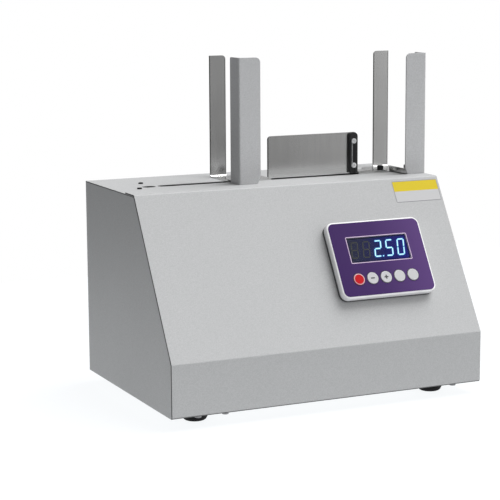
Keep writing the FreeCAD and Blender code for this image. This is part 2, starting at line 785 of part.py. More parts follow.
def control_board():
    """Board with a switch under each button and its larger components on the back."""
    points = panel_rectangle(panel_width - 8, panel_length - 8, panel_x, panel_s, 2)
    board = prism(points, on_xy(-board_depth - board_sheet), V(0, 0, board_sheet))
    for x in button_places():
        board = board.fuse(block(x - 3, x + 3, button_s - 3, button_s + 3, -board_depth, -board_depth + key_switch))
    for x, s, width, length, height in ((58, 130, 18, 12, 6), (116, 128, 14, 14, 3), (138, 120, 9, 20, 8)):
        board = board.fuse(block(x - width / 2, x + width / 2, s - length / 2, s + length / 2,
                                 -board_depth - board_sheet - height, -board_depth - board_sheet))
    return on_slope(board.removeSplitter())


def standoff_places():
    x, s = panel_width / 2 - standoff_inset, panel_length / 2 - standoff_inset
    return [(panel_x + sx * x, panel_s + sy * s) for sx in (-1, 1) for sy in (-1, 1)]


def board_standoffs():
    return group([on_slope(rod(standoff_radius, V(x, s, -board_depth), V(x, s, -sheet)))
                  for x, s in standoff_places()])


def panel_button(x):
    top = panel_top + button_proud
    cap = rod(button_radius, V(x, button_s, top - button_skirt), V(x, button_s, top))
    rim = [e for e in cap.Edges if abs(e.BoundBox.ZMin - top) < 1e-6 and e.BoundBox.XLength > button_radius]
    cap = cap.makeFillet(0.5, rim)
    stem_end = -board_depth + key_switch + button_travel + 0.3
    stem = rod(button_stem_radius, V(x, button_s, stem_end), V(x, button_s, top - button_skirt))
    return on_slope(cap.fuse(stem).removeSplitter())


# ---- tape mechanism ----
def spin(radius, y, z, x0, x1):
    """A cylinder on an axis along X, where the mechanism's shafts run."""
    return rod(radius, V(x0, y, z), V(x1, y, z))


def main_plate():
    """Frame plate with its foot on the tray, a tab up to the deck and the pinch arm's pin."""
    points = [(plate_y0, floor_z), (plate_y1, floor_z), (plate_y1, 232, 8), (78, plate_top, 8),
              (-52, plate_top, 8), (plate_y0, 150, 12)]
    plate = prism(points, on_yz(plate_x), V(frame_plate, 0, 0))
    foot = block(plate_x - plate_foot, plate_x, plate_y0 + 2, plate_y1 - 2, floor_z, floor_z + frame_plate)
    tab = block(plate_x, plate_face_x, 40, 56, plate_top - 5, under_deck_z)
    ledge = block(plate_x - 14, plate_face_x, 40, 56, under_deck_z - frame_plate, under_deck_z)
    pin = spin(pivot_pin_radius, pinch_pivot_y, pinch_pivot_z, plate_x, plate_face_x + 1 + arm_sheet + 3)
    plate = plate.fuse(foot).fuse(tab).fuse(ledge).fuse(pin)
    holes = [spin(feed_shaft_radius + run_clearance, feed_y, feed_z, plate_x - 5, plate_x + 9),
             spin(motor_shaft_radius + 1.5, motor_y, motor_z, plate_x - 5, plate_x + 9)]
    for y in (-45, -10):
        holes.append(prism(rectangle(y - 12, y + 12, 60, 140, 8), on_yz(plate_x - 1), V(9, 0, 0)))
    return plate.removeSplitter().cut(group(holes))


def reel_spindle():
    spindle = spin(spindle_radius, reel_y, reel_z, plate_face_x, tape_right + 16)
    return spindle.fuse(spin(12.0, reel_y, reel_z, plate_face_x, plate_face_x + 4)).removeSplitter()


def spindle_bore():
    return spin(spindle_radius + run_clearance, reel_y, reel_z, 0, 99)


def reel_hub():
    hub = spin(core_radius, reel_y, reel_z, tape_x - 2, tape_right)
    hub = hub.fuse(spin(flange_radius, reel_y, reel_z, tape_x - 2, tape_x))
    hub = hub.fuse(spin(9.0, reel_y, reel_z, plate_face_x + 4.5, tape_x))
    windows = []
    for i in range(6):
        angle = math.radians(60 * i)
        y = reel_y + 40 * math.cos(angle)
        z = reel_z + 40 * math.sin(angle)
        windows.append(spin(11.0, y, z, tape_x - 5, tape_x))
    return hub.removeSplitter().cut(group(windows)).cut(spindle_bore())


def tape_roll():
    roll = spin(roll_radius, reel_y, reel_z, tape_x, tape_right)
    return roll.cut(spin(core_radius + 0.3, reel_y, reel_z, tape_x, tape_right))


def reel_cap():
    """Cap that holds the roll on its hub, with a knurled grip."""
    start = tape_right
    cap = spin(30.0, reel_y, reel_z, start, start + 3)
    grip = []
    for i in range(24):
        angle = math.radians(15 * i)
        radius = 11.0 if i % 2 else 10.0
        grip.append((reel_y + radius * math.cos(angle), reel_z + radius * math.sin(angle)))
    return cap.fuse(prism(grip, on_yz(start + 3), V(9, 0, 0))).removeSplitter().cut(spindle_bore())


def involute_gear(teeth, x0, width, y, z, phase, bore):
    """Spur gear on a shaft along X, 20 degree involute flanks, thinned for backlash."""
    pressure = math.radians(20)
    pitch = gear_module * teeth / 2
    base = pitch * math.cos(pressure)
    tip = pitch + gear_module
    root = pitch - 1.25 * gear_module
    half_tooth = math.pi / (2 * teeth) - 0.06 / pitch
    involute_at_pitch = math.tan(pressure) - pressure

    def flank(radius):
        ratio = min(base / radius, 1.0)
        roll = math.acos(ratio)
        return half_tooth + involute_at_pitch - (math.tan(roll) - roll)

    start = max(base, root)
    radii = [start + (tip - start) * i / 3 for i in range(4)]

    def point(radius, angle):
        return V(x0, y + radius * math.cos(angle), z + radius * math.sin(angle))

    edges = []
    for i in range(teeth):
        middle = phase + 2 * math.pi * i / teeth
        following = middle + 2 * math.pi / teeth
        rising = [point(r, middle - flank(r)) for r in radii]
        falling = [point(r, middle + flank(r)) for r in reversed(radii)]
        if root < start:
            foot = point(root, middle - flank(start))
            edges.append(Part.LineSegment(foot, rising[0]).toShape())
        for curve in (rising, falling):
            spline = Part.BSplineCurve()
            spline.interpolate(curve)
            edges.append(spline.toShape())
        tip_arc = Part.Arc(rising[-1], point(tip, middle), falling[0])
        edges.insert(len(edges) - 1, tip_arc.toShape())
        last = falling[-1]
        if root < start:
            foot_end = point(root, middle + flank(start))
            edges.append(Part.LineSegment(last, foot_end).toShape())
            last = foot_end
        next_start = point(min(root, start), following - flank(start))
        gap = (middle + following) / 2
        edges.append(Part.Arc(last, point(min(root, start), gap), next_start).toShape())
    face = Part.Face(Part.Wire(edges))
    gear = face.extrude(V(width, 0, 0))
    return gear.cut(spin(bore, y, z, x0 - 1, x0 + width + 1)) if bore else gear


def feed_shaft():
    return spin(feed_shaft_radius, feed_y, feed_z, gear_x - 2, tape_right + 4)


def feed_roller():
    roller = spin(feed_radius, feed_y, feed_z, tape_x, tape_right)
    return roller.cut(spin(feed_shaft_radius, feed_y, feed_z, tape_x, tape_right))


def feed_gear():
    gear = involute_gear(gear_teeth, gear_x, gear_width, feed_y, feed_z, 0.0, feed_shaft_radius)
    pockets = []
    for i in range(5):
        angle = math.radians(72 * i + 36)
        y = feed_y + 15.5 * math.cos(angle)
        z = feed_z + 15.5 * math.sin(angle)
        pockets.append(spin(6.0, y, z, gear_x - 1, gear_x + gear_width + 1))
    return gear.cut(group(pockets))


def motor_pinion():
    pinion = involute_gear(pinion_teeth, gear_x, gear_width, motor_y, motor_z, math.pi / pinion_teeth, 0)
    shaft = spin(motor_shaft_radius, motor_y, motor_z, gear_x, plate_face_x + 11)
    return pinion.fuse(shaft).removeSplitter()


def feed_motor():
    """Can with its end cap and two solder tags."""
    x0 = plate_face_x
    x1 = x0 + motor_length
    body = spin(motor_radius, motor_y, motor_z, x0, x1)
    body = body.fuse(spin(motor_radius - 5, motor_y, motor_z, x1, x1 + 4))
    for side in (-1, 1):
        z = motor_z + side * 8
        body = body.fuse(block(x1 + 4, x1 + 9, motor_y - 1.5, motor_y + 1.5, z - 0.4, z + 0.4))
    return body.removeSplitter().cut(spin(motor_shaft_radius + run_clearance, motor_y, motor_z, x0 - 1, x0 + 12))


def pinch_arm():
    """Swinging arm with the pinch roller's pin."""
    x0 = plate_face_x + 1
    ends = [(pinch_pivot_y, pinch_pivot_z), (pinch_y, feed_z)]
    bosses = [spin(7.5, y, z, x0, x0 + arm_sheet) for y, z in ends]
    dy, dz = ends[1][0] - ends[0][0], ends[1][1] - ends[0][1]
    length = math.hypot(dy, dz)
    ny, nz = -dz / length * 6, dy / length * 6
    points = [(ends[0][0] + ny, ends[0][1] + nz), (ends[1][0] + ny, ends[1][1] + nz),
              (ends[1][0] - ny, ends[1][1] - nz), (ends[0][0] - ny, ends[0][1] - nz)]
    bar = prism(points, on_yz(x0), V(arm_sheet, 0, 0))
    arm = bar.fuse(bosses[0]).fuse(bosses[1])
    arm = arm.fuse(spin(pinch_pin_radius, pinch_y, feed_z, x0, tape_right + 3))
    bore = spin(pivot_pin_radius + run_clearance, pinch_pivot_y, pinch_pivot_z, 0, 99)
    return arm.removeSplitter().cut(bore)


def pinch_roller():
    roller = spin(pinch_radius, pinch_y, feed_z, tape_x, tape_right)
    return roller.cut(spin(pinch_pin_radius + run_clearance, pinch_y, feed_z, tape_x, tape_right))


def tape_guide():
    """Bent strip that leads the tape up to the slot; the sealing head presses against it."""
    z0, z1 = feed_z + feed_radius + 2, tape_guide_top
    wall = block(plate_face_x, plate_face_x + sheet, guide_face_y, guide_face_y + 16, z0 + 4, z1 - 8)
    wall = wall.cut(spin(feed_radius + 3, feed_y, feed_z, 0, 99))
    blade = block(plate_face_x, tape_right + 2, guide_face_y, guide_face_y + sheet, z0, z1)
    return wall.fuse(blade).removeSplitter()


def solenoid():
    body = block(plate_face_x, tape_mid_x + 14, solenoid_y0, solenoid_y1, seal_z0 - 6, seal_z1 + 6)
    return body.cut(rod(plunger_radius + run_clearance, V(tape_mid_x, solenoid_y0 + 6, seal_z),
                        V(tape_mid_x, solenoid_y1 + 1, seal_z)))


def sealing_head():
    """Heated pad on the solenoid's plunger."""
    back = seal_y1 - head_length
    points = rectangle(tape_x - 2, tape_right + 2, seal_z0, seal_z1, 1.5)
    pad = prism(points, on_xz(back), V(0, head_length, 0))
    groove = block(tape_x - 3, tape_right + 3, seal_y1 - 1, seal_y1 + 1, seal_z - 1, seal_z + 1)
    plunger = rod(plunger_radius, V(tape_mid_x, solenoid_y0 + 8, seal_z), V(tape_mid_x, back, seal_z))
    return pad.cut(groove).fuse(plunger).removeSplitter()


def cutter_blade():
    """Thin toothed blade under the sealing head."""
    count = 6
    pitch = (tape_width + 4) / count
    teeth = [(tape_x - 2, 10.0)]
    for i in range(count):
        teeth.append((tape_x - 2 + pitch * i, seal_y1 - 2))
        teeth.append((tape_x - 2 + pitch * (i + 0.5), seal_y1))
    teeth.append((tape_right + 2, seal_y1 - 2))
    teeth.append((tape_right + 2, 10.0))
    return prism(teeth, on_xy(seal_z0 - 1), V(0, 0, 1))


# ---- power ----
def transformer_core():
    """Laminated core on its mounting strap, with a window on each side of the middle limb."""
    x0, y0, z0 = core_x, core_y, floor_z
    x1 = x0 + core_width
    core = block(x0, x1, y0, y0 + core_depth, z0 + 3, z0 + core_height)
    window = [block(a, a + core_limb, y0 - 1, y0 + core_depth + 1, z0 + 3 + core_limb, z0 + core_height - core_limb)
              for a in (x0 + core_limb, x1 - 2 * core_limb)]
    strap = block(x0 - 10, x1 + 10, y0 + 4, y0 + core_depth - 4, z0, z0 + 3)
    return core.cut(group(window)).fuse(strap).removeSplitter()


def transformer_coil():
    """Winding around the middle limb, with a small gap to the core."""
    gap = 0.3
    x0, x1 = core_x + core_limb, core_x + core_width - core_limb
    z0, z1 = floor_z + 3 + core_limb, floor_z + core_height - core_limb
    points = rectangle(x0 + gap, x1 - gap, core_y - 10, core_y + core_depth + 10, 5)
    coil = prism(points, on_xy(z0 + gap), V(0, 0, z1 - z0 - 2 * gap))
    return coil.cut(block(x0 + core_limb - gap, x1 - core_limb + gap, core_y - gap, core_y + core_depth + gap,
                          z0 - 1, z1 + 1))


def power_board():
    """Board on four pillars with its capacitors and a heat sink."""
    z0 = floor_z
    board = block(-190, -100, 20, 100, z0 + 8, z0 + 9.6)
    for x in (-184, -106):
        for y in (26, 94):
            board = board.fuse(rod(3, V(x, y, z0), V(x, y, z0 + 8)))
    for x, y, radius, height in ((-170, 45, 9, 26), (-146, 45, 9, 26), (-170, 75, 6, 14)):
        board = board.fuse(rod(radius, V(x, y, z0 + 9.6), V(x, y, z0 + 9.6 + height)))
    board = board.fuse(block(-132, -116, 40, 90, z0 + 9.6, z0 + 34))
    return board.removeSplitter()


def power_inlet():
    """Appliance inlet: flange, body with the socket recess, and its three blades."""
    x, z = inlet_x, inlet_z
    face_y = back_y + inlet_flange
    half_x, half_z = inlet_width / 2 - 0.2, inlet_height / 2 - 0.2
    body = block(x - half_x, x + half_x, back_y - inlet_depth, back_y, z - half_z, z + half_z)
    flange = prism([(x - 25, z, 6), (x - 14, z + 14, 3), (x + 14, z + 14, 3), (x + 25, z, 6),
                    (x + 14, z - 14, 3), (x - 14, z - 14, 3)], on_xz(back_y), V(0, inlet_flange, 0))
    recess = prism([(x - 12, z - 8), (x + 12, z - 8), (x + 12, z + 4), (x + 8, z + 8), (x - 8, z + 8),
                    (x - 12, z + 4)], on_xz(face_y - socket_depth), V(0, socket_depth + 1, 0))
    inlet = body.fuse(flange).removeSplitter().cut(recess)
    for dx, dz in ((-7, -3), (7, -3), (0, 3)):
        inlet = inlet.fuse(block(x + dx - 1, x + dx + 1, face_y - socket_depth - 1, face_y - 3,
                                 z + dz - 2, z + dz + 2))
    return inlet.removeSplitter()


def switch_frame():
    """Frame with the well that the rocker tilts in, and the holes for its trunnions."""
    x, z = switch_x, switch_z
    outer_x, outer_z = switch_width / 2 - 0.2, switch_height / 2 - 0.2
    body = block(x - outer_x, x + outer_x, back_y - 20, back_y, z - outer_z, z + outer_z)
    points = rectangle(x - outer_x - 2, x + outer_x + 2, z - outer_z - 2, z + outer_z + 2, 2)
    flange = prism(points, on_xz(back_y), V(0, 2, 0))
    well_x, well_z = rocker_half_width + 0.4, rocker_half_height + 1.4
    well = block(x - well_x, x + well_x, back_y - 16, back_y + 3, z - well_z, z + well_z)
    frame = body.fuse(flange).removeSplitter().cut(well)
    return frame.cut(spin(trunnion_radius + run_clearance, rocker_y, z, x - outer_x - 1, x + outer_x + 1))


def power_rocker():
    y, z = rocker_y, switch_z
    points = [(y - 5, z - 6, 2), (y + 5.5, z - rocker_half_height, 1), (y + 4, z),
              (y + 5.5, z + rocker_half_height, 1), (y - 5, z + 6, 2)]
    rocker = prism(points, on_yz(switch_x - rocker_half_width), V(2 * rocker_half_width, 0, 0))
    reach = rocker_half_width + 1.4
    return rocker.fuse(spin(trunnion_radius, y, z, switch_x - reach, switch_x + reach)).removeSplitter()


# ---- tape door ----
def on_hinge(radius, z0, z1):
    return rod(radius, V(hinge_x, hinge_y, z0), V(hinge_x, hinge_y, z1))


def tape_door():
    """Sheet door that covers the opening from outside, with a knuckle at each hinge."""
    points = rectangle(door_x0, door_x1, door_z0, door_z1, 5)
    door = prism(points, on_xz(back_y + door_gap), V(0, sheet, 0))
    half = knuckle_length / 2
    face_y = back_y + door_gap + sheet
    for z in hinge_levels:
        tongue = block(door_x1 - 6, hinge_x, face_y - 0.4, face_y + 0.8, z - half, z + half)
        door = door.fuse(tongue).fuse(on_hinge(knuckle_radius, z - half, z + half))
        door = door.cut(on_hinge(hinge_pin_radius + run_clearance, z - half - 1, z + half + 1))
    return door.removeSplitter()


def door_hinges():
    """Fixed leaves on the rear cover, each with two knuckles and the pin through them."""
    hinges = []
    for z in hinge_levels:
        inner = knuckle_length / 2 + knuckle_gap
        outer = inner + knuckle_length
        points = rectangle(hinge_x + 0.5, hinge_x + 16, z - outer, z + outer, 2)
        leaf = prism(points, on_xz(back_y), V(0, hinge_leaf, 0))
        shape = leaf.cut(block(hinge_x - 5, hinge_x + 4, back_y - 1, back_y + 3, z - inner, z + inner))
        for z0, z1 in ((z - outer, z - inner), (z + inner, z + outer)):
            shape = shape.fuse(on_hinge(knuckle_radius, z0, z1))
        hinges.append(shape.fuse(on_hinge(hinge_pin_radius, z - outer, z + outer)).removeSplitter())
    return group(hinges)


def door_pull():
    """Bow grip on the door's free edge."""
    x, z = door_x0 + pull_inset, (door_z0 + door_z1) / 2
    y = back_y + door_gap + sheet
    out = y + pull_depth
    grip = prism([(y, z - 18), (out, z - 14, 4), (out, z + 14, 4), (y, z + 18)], on_yz(x - 4), V(8, 0, 0))
    opening = [(y - 1, z - 10), (out - 4, z - 9, 2), (out - 4, z + 9, 2), (y - 1, z + 10)]
    return grip.cut(prism(opening, on_yz(x - 5), V(10, 0, 0)))


def mechanism():
    """Tape mechanism, in the drawing position with its shafts along X."""
    return {
        "main_plate": main_plate(),
        "reel_spindle": reel_spindle(),
        "tape_guide": tape_guide(),
        "feed_motor": feed_motor(),
        "solenoid": solenoid(),
        "tape_roll": tape_roll(),
        "reel_hub": reel_hub(),
        "reel_cap": reel_cap(),
        "feed_shaft": feed_shaft(),
        "feed_roller": feed_roller(),
        "feed_gear": feed_gear(),
        "motor_pinion": motor_pinion(),
        "pinch_arm": pinch_arm(),
        "pinch_roller": pinch_roller(),
        "sealing_head": sealing_head(),
        "cutter_blade": cutter_blade(),
    }


def build():
    head_on_plate = guide_z + plate_sheet
    head_on_strip = foot_strip_z + plate_sheet + slide_gap
    nodes = {
        "base_tray": base_tray(),
        "left_side_panel": side_panel(-half_width, 1),
        "right_side_panel": side_panel(half_width, -1),
        "front_cover": front_cover(),
        "deck_plate": deck_plate(),
        "rear_cover": rear_cover(),
        "rubber_feet": rubber_feet(),
        "foot_screws": foot_screws(),
        "housing_screws": housing_screws(),
        "deck_bracket": deck_bracket(),
        "deck_screws": deck_screws(),
        "panel_bezel": panel_bezel(),
        "panel_overlay": panel_overlay(),
        "display_window": display_window(),
        "display_module": display_module(),
        "control_board": control_board(),
        "board_standoffs": board_standoffs(),
        "transformer_core": transformer_core(),
        "transformer_coil": transformer_coil(),
        "power_board": power_board(),
        "power_inlet": power_inlet(),
        "switch_frame": switch_frame(),
        "power_rocker": power_rocker(),
        "door_hinges": door_hinges(),
        "tape_door": tape_door(),
        "door_pull": door_pull(),
        "left_guide_plate": guide_plate(left_reach),
        "left_guide_channel": guide_channel(left_post_front),
        "left_front_post": front_post(left_post_front),
        "left_guide_slider": guide_slider(),
        "left_clamp_screw": clamp_screw(head_on_plate),
        "right_guide_plate": on_right(guide_plate(right_reach)),
        "right_guide_channel": on_right(guide_channel(right_post_front)),
        "right_front_post": on_right(front_post(right_post_front)),
        "right_guide_slider": on_right(guide_slider()),
        "right_clamp_screw": on_right(clamp_screw(head_on_strip)),
        "fence_plate": fence_plate(),
        "end_bar": end_bar(),
        "end_bar_screws": end_bar_screws(),
    }
    for name, shape in mechanism().items():
        nodes[name] = in_machine(shape)
    for name, x in zip(button_names, button_places()):
        nodes[name] = panel_button(x)
    return nodes


os.makedirs("parts", exist_ok=True)
for node_name, shape in build().items():
    shape.exportStep("parts/" + node_name + ".step")
    print(node_name, len(shape.Solids), "solids", round(shape.Volume / 1000, 2), "cm3", shape.isValid())
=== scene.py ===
import bmesh
import bpy
import json
import math
from mathutils import Matrix, Vector

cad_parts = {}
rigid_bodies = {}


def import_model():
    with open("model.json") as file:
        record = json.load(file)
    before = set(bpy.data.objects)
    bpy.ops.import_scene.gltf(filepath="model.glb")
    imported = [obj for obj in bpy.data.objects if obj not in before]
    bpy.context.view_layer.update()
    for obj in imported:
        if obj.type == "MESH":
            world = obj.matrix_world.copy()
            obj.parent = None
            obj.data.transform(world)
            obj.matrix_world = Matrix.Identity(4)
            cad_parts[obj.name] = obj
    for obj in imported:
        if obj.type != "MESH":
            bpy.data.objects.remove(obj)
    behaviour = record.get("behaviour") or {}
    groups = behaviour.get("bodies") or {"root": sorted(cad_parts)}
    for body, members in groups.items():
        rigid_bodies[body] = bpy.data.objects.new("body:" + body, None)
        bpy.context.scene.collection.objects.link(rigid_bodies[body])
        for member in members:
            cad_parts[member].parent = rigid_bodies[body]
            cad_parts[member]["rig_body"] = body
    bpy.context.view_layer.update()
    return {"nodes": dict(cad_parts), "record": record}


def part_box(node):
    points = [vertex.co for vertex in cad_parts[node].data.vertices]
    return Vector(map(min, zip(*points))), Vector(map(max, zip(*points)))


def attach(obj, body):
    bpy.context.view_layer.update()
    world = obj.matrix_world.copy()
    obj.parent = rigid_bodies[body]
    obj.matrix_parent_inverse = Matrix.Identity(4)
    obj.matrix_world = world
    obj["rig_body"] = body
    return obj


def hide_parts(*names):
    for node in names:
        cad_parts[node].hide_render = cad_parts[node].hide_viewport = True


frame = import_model()
nodes = frame["nodes"]
mm = 0.001
acrossWay = (1.0, 0.0, 0.0)
upWay = (0.0, 0.0, 1.0)
print("frame loaded,", len(nodes), "nodes")


# a node socket that takes part in Python expressions
class Socket:
    def __init__(self, tree, out):
        self.tree = tree
        self.out = out

    def math(self, operation, a, b):
        return self.tree.node("ShaderNodeMath", {"operation": operation}, {0: a, 1: b})

    def __add__(self, other):
        return self.math("ADD", self, other)

    def __radd__(self, other):
        return self.math("ADD", other, self)

    def __sub__(self, other):
        return self.math("SUBTRACT", self, other)

    def __rsub__(self, other):
        return self.math("SUBTRACT", other, self)

    def __mul__(self, other):
        return self.math("MULTIPLY", self, other)

    def __rmul__(self, other):
        return self.math("MULTIPLY", other, self)

    def __gt__(self, other):
        return self.math("GREATER_THAN", self, other)


class Tree:
    def __init__(self, nodeTree, coordinates="Object"):
        self.nodes = nodeTree.nodes
        self.links = nodeTree.links
        self.place = self.node("ShaderNodeTexCoord", {}, {}, coordinates)

    # every node is made here: its type, its settings, then the values or links of its sockets
    def node(self, kind, settings, values, output=0):
        made = self.nodes.new(kind)
        for key, value in settings.items():
            if key == "stops":
                self.fillRamp(made, value)
            else:
                setattr(made, key, value)
        for key, value in values.items():
            self.feed(made.inputs[key], value)
        return Socket(self, made.outputs[output])

    def fillRamp(self, made, stops):
        ramp = made.color_ramp
        while len(ramp.elements) < len(stops):
            ramp.elements.new(0.5)
        for element, (position, tone) in zip(ramp.elements, stops):
            element.position = position
            element.color = (*tone, 1) if isinstance(tone, tuple) else (tone, tone, tone, 1)

    def feed(self, socket, value):
        if isinstance(value, Socket):
            self.links.new(value.out, socket)
        elif isinstance(value, tuple) and socket.type == "RGBA":
            socket.default_value = (*value, 1)
        else:
            socket.default_value = value

    def noise(self, scale, detail=3.0, vector=None, roughness=0.5):
        values = {"Vector": vector or self.place, "Scale": scale, "Detail": detail, "Roughness": roughness}
        return self.node("ShaderNodeTexNoise", {}, values, "Fac")

    def stretched(self, scale):
        return self.node("ShaderNodeMapping", {}, {"Vector": self.place, "Scale": scale})

    # 0 at start and 1 at end, both measured in metres along a direction
    def along(self, direction, start, end):
        values = {0: self.place, 1: direction}
        distance = self.node("ShaderNodeVectorMath", {"operation": "DOT_PRODUCT"}, values, "Value")
        return (distance - start) * (1 / (end - start))

    def ramp(self, value, *stops):
        return self.node("ShaderNodeValToRGB", {"stops": stops}, {"Fac": value})

    # the same as along, held at 0 before start and at 1 past end
    def beyond(self, direction, start, end):
        return self.ramp(self.along(direction, start, end), (0.0, 0.0), (1.0, 1.0))

    def blend(self, factor, a, b):
        return self.node("ShaderNodeMix", {"data_type": "RGBA"}, {0: factor, 6: a, 7: b}, 2)


class Material(Tree):
    def __init__(self, name):
        self.material = bpy.data.materials.new(name)
        self.material.use_nodes = True
        super().__init__(self.material.node_tree)
        self.shader = self.nodes["Principled BSDF"]

    def set(self, **values):
        for key, value in values.items():
            self.feed(self.shader.inputs[key.replace("_", " ")], value)

    def bump(self, height, distance, strength=1.0):
        values = {"Height": height, "Distance": distance, "Strength": strength}
        self.set(Normal=self.node("ShaderNodeBump", {}, values, "Normal"))


def shaded(colour, share):
    return tuple(c * share for c in colour)


# finishes; colours are linear, sizes in metres, and a look's tones are shares of its colour
housingPaint = {"colour": (0.445, 0.45, 0.455), "grainSize": 0.9 * mm, "grainHeight": 0.04 * mm,
                "roughness": 0.52, "gloss": 0.35}
postPaint = {"colour": (0.565, 0.57, 0.58), "grainSize": 0.9 * mm, "grainHeight": 0.035 * mm,
             "roughness": 0.48, "gloss": 0.35}
coat = {"speckTones": (0.91, 1.08), "speckStops": ((0.30, 0.0), (0.70, 1.0)), "speckScale": 0.7,
        "cloudScale": 14.0, "cloudShare": 0.35, "cloudTone": 0.92, "grainSpread": 0.16,
        "cloudSpread": 0.08, "bumpStrength": 0.8, "edgeShadeTone": 0.16, "edgeShadeFade": 0.5 * mm}


# painted shade along edges: each is given as a direction into the sheet and where the paint's full colour
# begins
def powderCoat(name, look, shadedEdges=()):
    tree = Material(name)
    colour = look["colour"]
    low, high = coat["speckTones"]
    grain = tree.noise(1 / look["grainSize"], 2.0)
    clouds = tree.noise(coat["cloudScale"], 4.0)
    speck = tree.ramp(tree.noise(coat["speckScale"] / look["grainSize"], 1.0), *coat["speckStops"])
    base = tree.blend(speck, shaded(colour, low), shaded(colour, high))
    base = tree.blend(clouds * coat["cloudShare"], base, shaded(colour, coat["cloudTone"]))
    # painted shade: each given edge is darkened to a share of the paint colour
    for direction, start in shadedEdges:
        unshaded = tree.beyond(direction, start, start + coat["edgeShadeFade"])
        base = tree.blend(unshaded, shaded(colour, coat["edgeShadeTone"]), base)
    roughness = look["roughness"] + (grain - 0.5) * coat["grainSpread"] + (clouds - 0.5) * coat["cloudSpread"]
    tree.set(Base_Color=base, Roughness=roughness, Specular_IOR_Level=look["gloss"])
    tree.bump(grain, look["grainHeight"], coat["bumpStrength"])
    return tree.material


sheetSteel = {"colour": (0.66, 0.66, 0.655), "roughness": 0.20, "lineTones": (0.95, 1.05),
              "lineStretch": (60, 60, 1), "lineScale": 12.0, "lineSpread": 0.10, "lineHeight": 0.003 * mm,
              "smudgeScale": 22.0, "smudgeSpread": 0.08, "shadeBandTone": 0.30, "shadeBandWidth": 1.3 * mm,
              "shadeBandStops": ((0.4, 1.0), (1.0, 0.0)), "shadeBandFade": 1.0 * mm}


# painted shade: an upright's side edges get a darker band from a height up; each is given as its x and the way
# to the sheet
def satinSteel(name, look, shadedEdges=(), above=0.0):
    tree = Material(name)
    colour = look["colour"]
    low, high = look["lineTones"]
    lines = tree.noise(look["lineScale"], 6.0, tree.stretched(look["lineStretch"]), 0.7)
    smudge = tree.noise(look["smudgeScale"], 3.0)
    base = tree.blend(lines, shaded(colour, low), shaded(colour, high))
    # a darker band along each given side edge: painted shade
    for side, inward in shadedEdges:
        across = tree.along(acrossWay, side, side + inward * look["shadeBandWidth"])
        upright = tree.beyond(upWay, above, above + look["shadeBandFade"])
        shadeOnEdge = tree.ramp(across, *look["shadeBandStops"]) * upright
        base = tree.blend(shadeOnEdge, base, shaded(colour, look["shadeBandTone"]))
    roughness = look["roughness"] + (lines - 0.5) * look["lineSpread"] + (smudge - 0.5) * look["smudgeSpread"]
    tree.set(Metallic=1.0, Base_Color=base, Roughness=roughness)
    tree.bump(lines, look["lineHeight"])
    return tree.material


machining = {"wearScale": 130.0, "wearTone": 0.82, "wearSpread": 0.22, "fineScale": 1400.0,
             "fineHeight": 0.01 * mm, "bumpStrength": 0.6}


def machined(name, colour, roughness, metallic=1.0):
    tree = Material(name)
    wear = tree.noise(machining["wearScale"], 4.0)
    fine = tree.noise(machining["fineScale"], 2.0)
    tree.set(Metallic=metallic, Base_Color=tree.blend(wear, shaded(colour, machining["wearTone"]), colour),
             Roughness=roughness + (wear - 0.5) * machining["wearSpread"])
    tree.bump(fine, machining["fineHeight"], machining["bumpStrength"])
    return tree.material


moulding = {"skinScale": 1600.0, "driftScale": 40.0, "driftTone": 0.9, "driftSpread": 0.12,
            "bumpStrength": 0.7}


def moulded(name, colour, roughness, grain=0.02 * mm, coating=0.0, gloss=0.5):
    tree = Material(name)
    skin = tree.noise(moulding["skinScale"], 2.0)
    drift = tree.noise(moulding["driftScale"], 3.0)
    tree.set(Base_Color=tree.blend(drift, shaded(colour, moulding["driftTone"]), colour),
             Roughness=roughness + (drift - 0.5) * moulding["driftSpread"],
             Coat_Weight=coating, Specular_IOR_Level=gloss)
    tree.bump(skin, grain, moulding["bumpStrength"])
    return tree.material


tapeLayers = {"scale": 900.0, "detail": 1.0, "stretch": (1, 0.02, 1),
              "tones": ((0.62, 0.55, 0.42), (0.80, 0.75, 0.64)), "roughness": 0.55, "spread": 0.1,
              "height": 0.06 * mm}
windingWrap = {"scale": 400.0, "detail": 2.0, "stretch": (0.1, 0.1, 1),
               "tones": ((0.42, 0.17, 0.05), (0.65, 0.33, 0.12)), "roughness": 0.3, "spread": 0.12,
               "height": 0.1 * mm}
boardTracks = {"scale": 180.0, "detail": 0.0, "stretch": (1, 1, 1), "stops": ((0.48, 0.0), (0.52, 1.0)),
               "tones": ((0.012, 0.10, 0.045), (0.02, 0.16, 0.07)), "roughness": 0.28, "spread": 0.1,
               "height": 0.03 * mm}


# one pattern for the colour, roughness and bump: tape layers, windings, circuit tracks
def patterned(name, look):
    tree = Material(name)
    pattern = tree.noise(look["scale"], look["detail"], tree.stretched(look["stretch"]))
    if "stops" in look:
        pattern = tree.ramp(pattern, *look["stops"])
    tree.set(Base_Color=tree.blend(pattern, *look["tones"]),
             Roughness=look["roughness"] + pattern * look["spread"])
    tree.bump(pattern, look["height"])
    return tree.material


# the purple is the film's print; its lightening towards the right is painted light
overlayPrintAndLight = {"left": 27.8 * mm, "right": 154.8 * mm, "roughness": 0.40, "gloss": 0.12,
                "weaveScale": 700.0, "weaveShift": 0.06, "weaveSpread": 0.1, "weaveHeight": 0.006 * mm,
                "stops": ((0.0, (0.038, 0.012, 0.092)), (0.45, (0.046, 0.017, 0.104)),
                          (1.0, (0.088, 0.040, 0.165)))}


def overlayFilm(name, look):
    tree = Material(name)
    # lighter towards the right: painted light
    across = tree.along(acrossWay, look["left"], look["right"])
    weave = tree.noise(look["weaveScale"], 2.0)
    tree.set(Base_Color=tree.ramp(across + (weave - 0.5) * look["weaveShift"], *look["stops"]),
             Roughness=look["roughness"] + (weave - 0.5) * look["weaveSpread"],
             Specular_IOR_Level=look["gloss"])
    tree.bump(weave, look["weaveHeight"])
    return tree.material
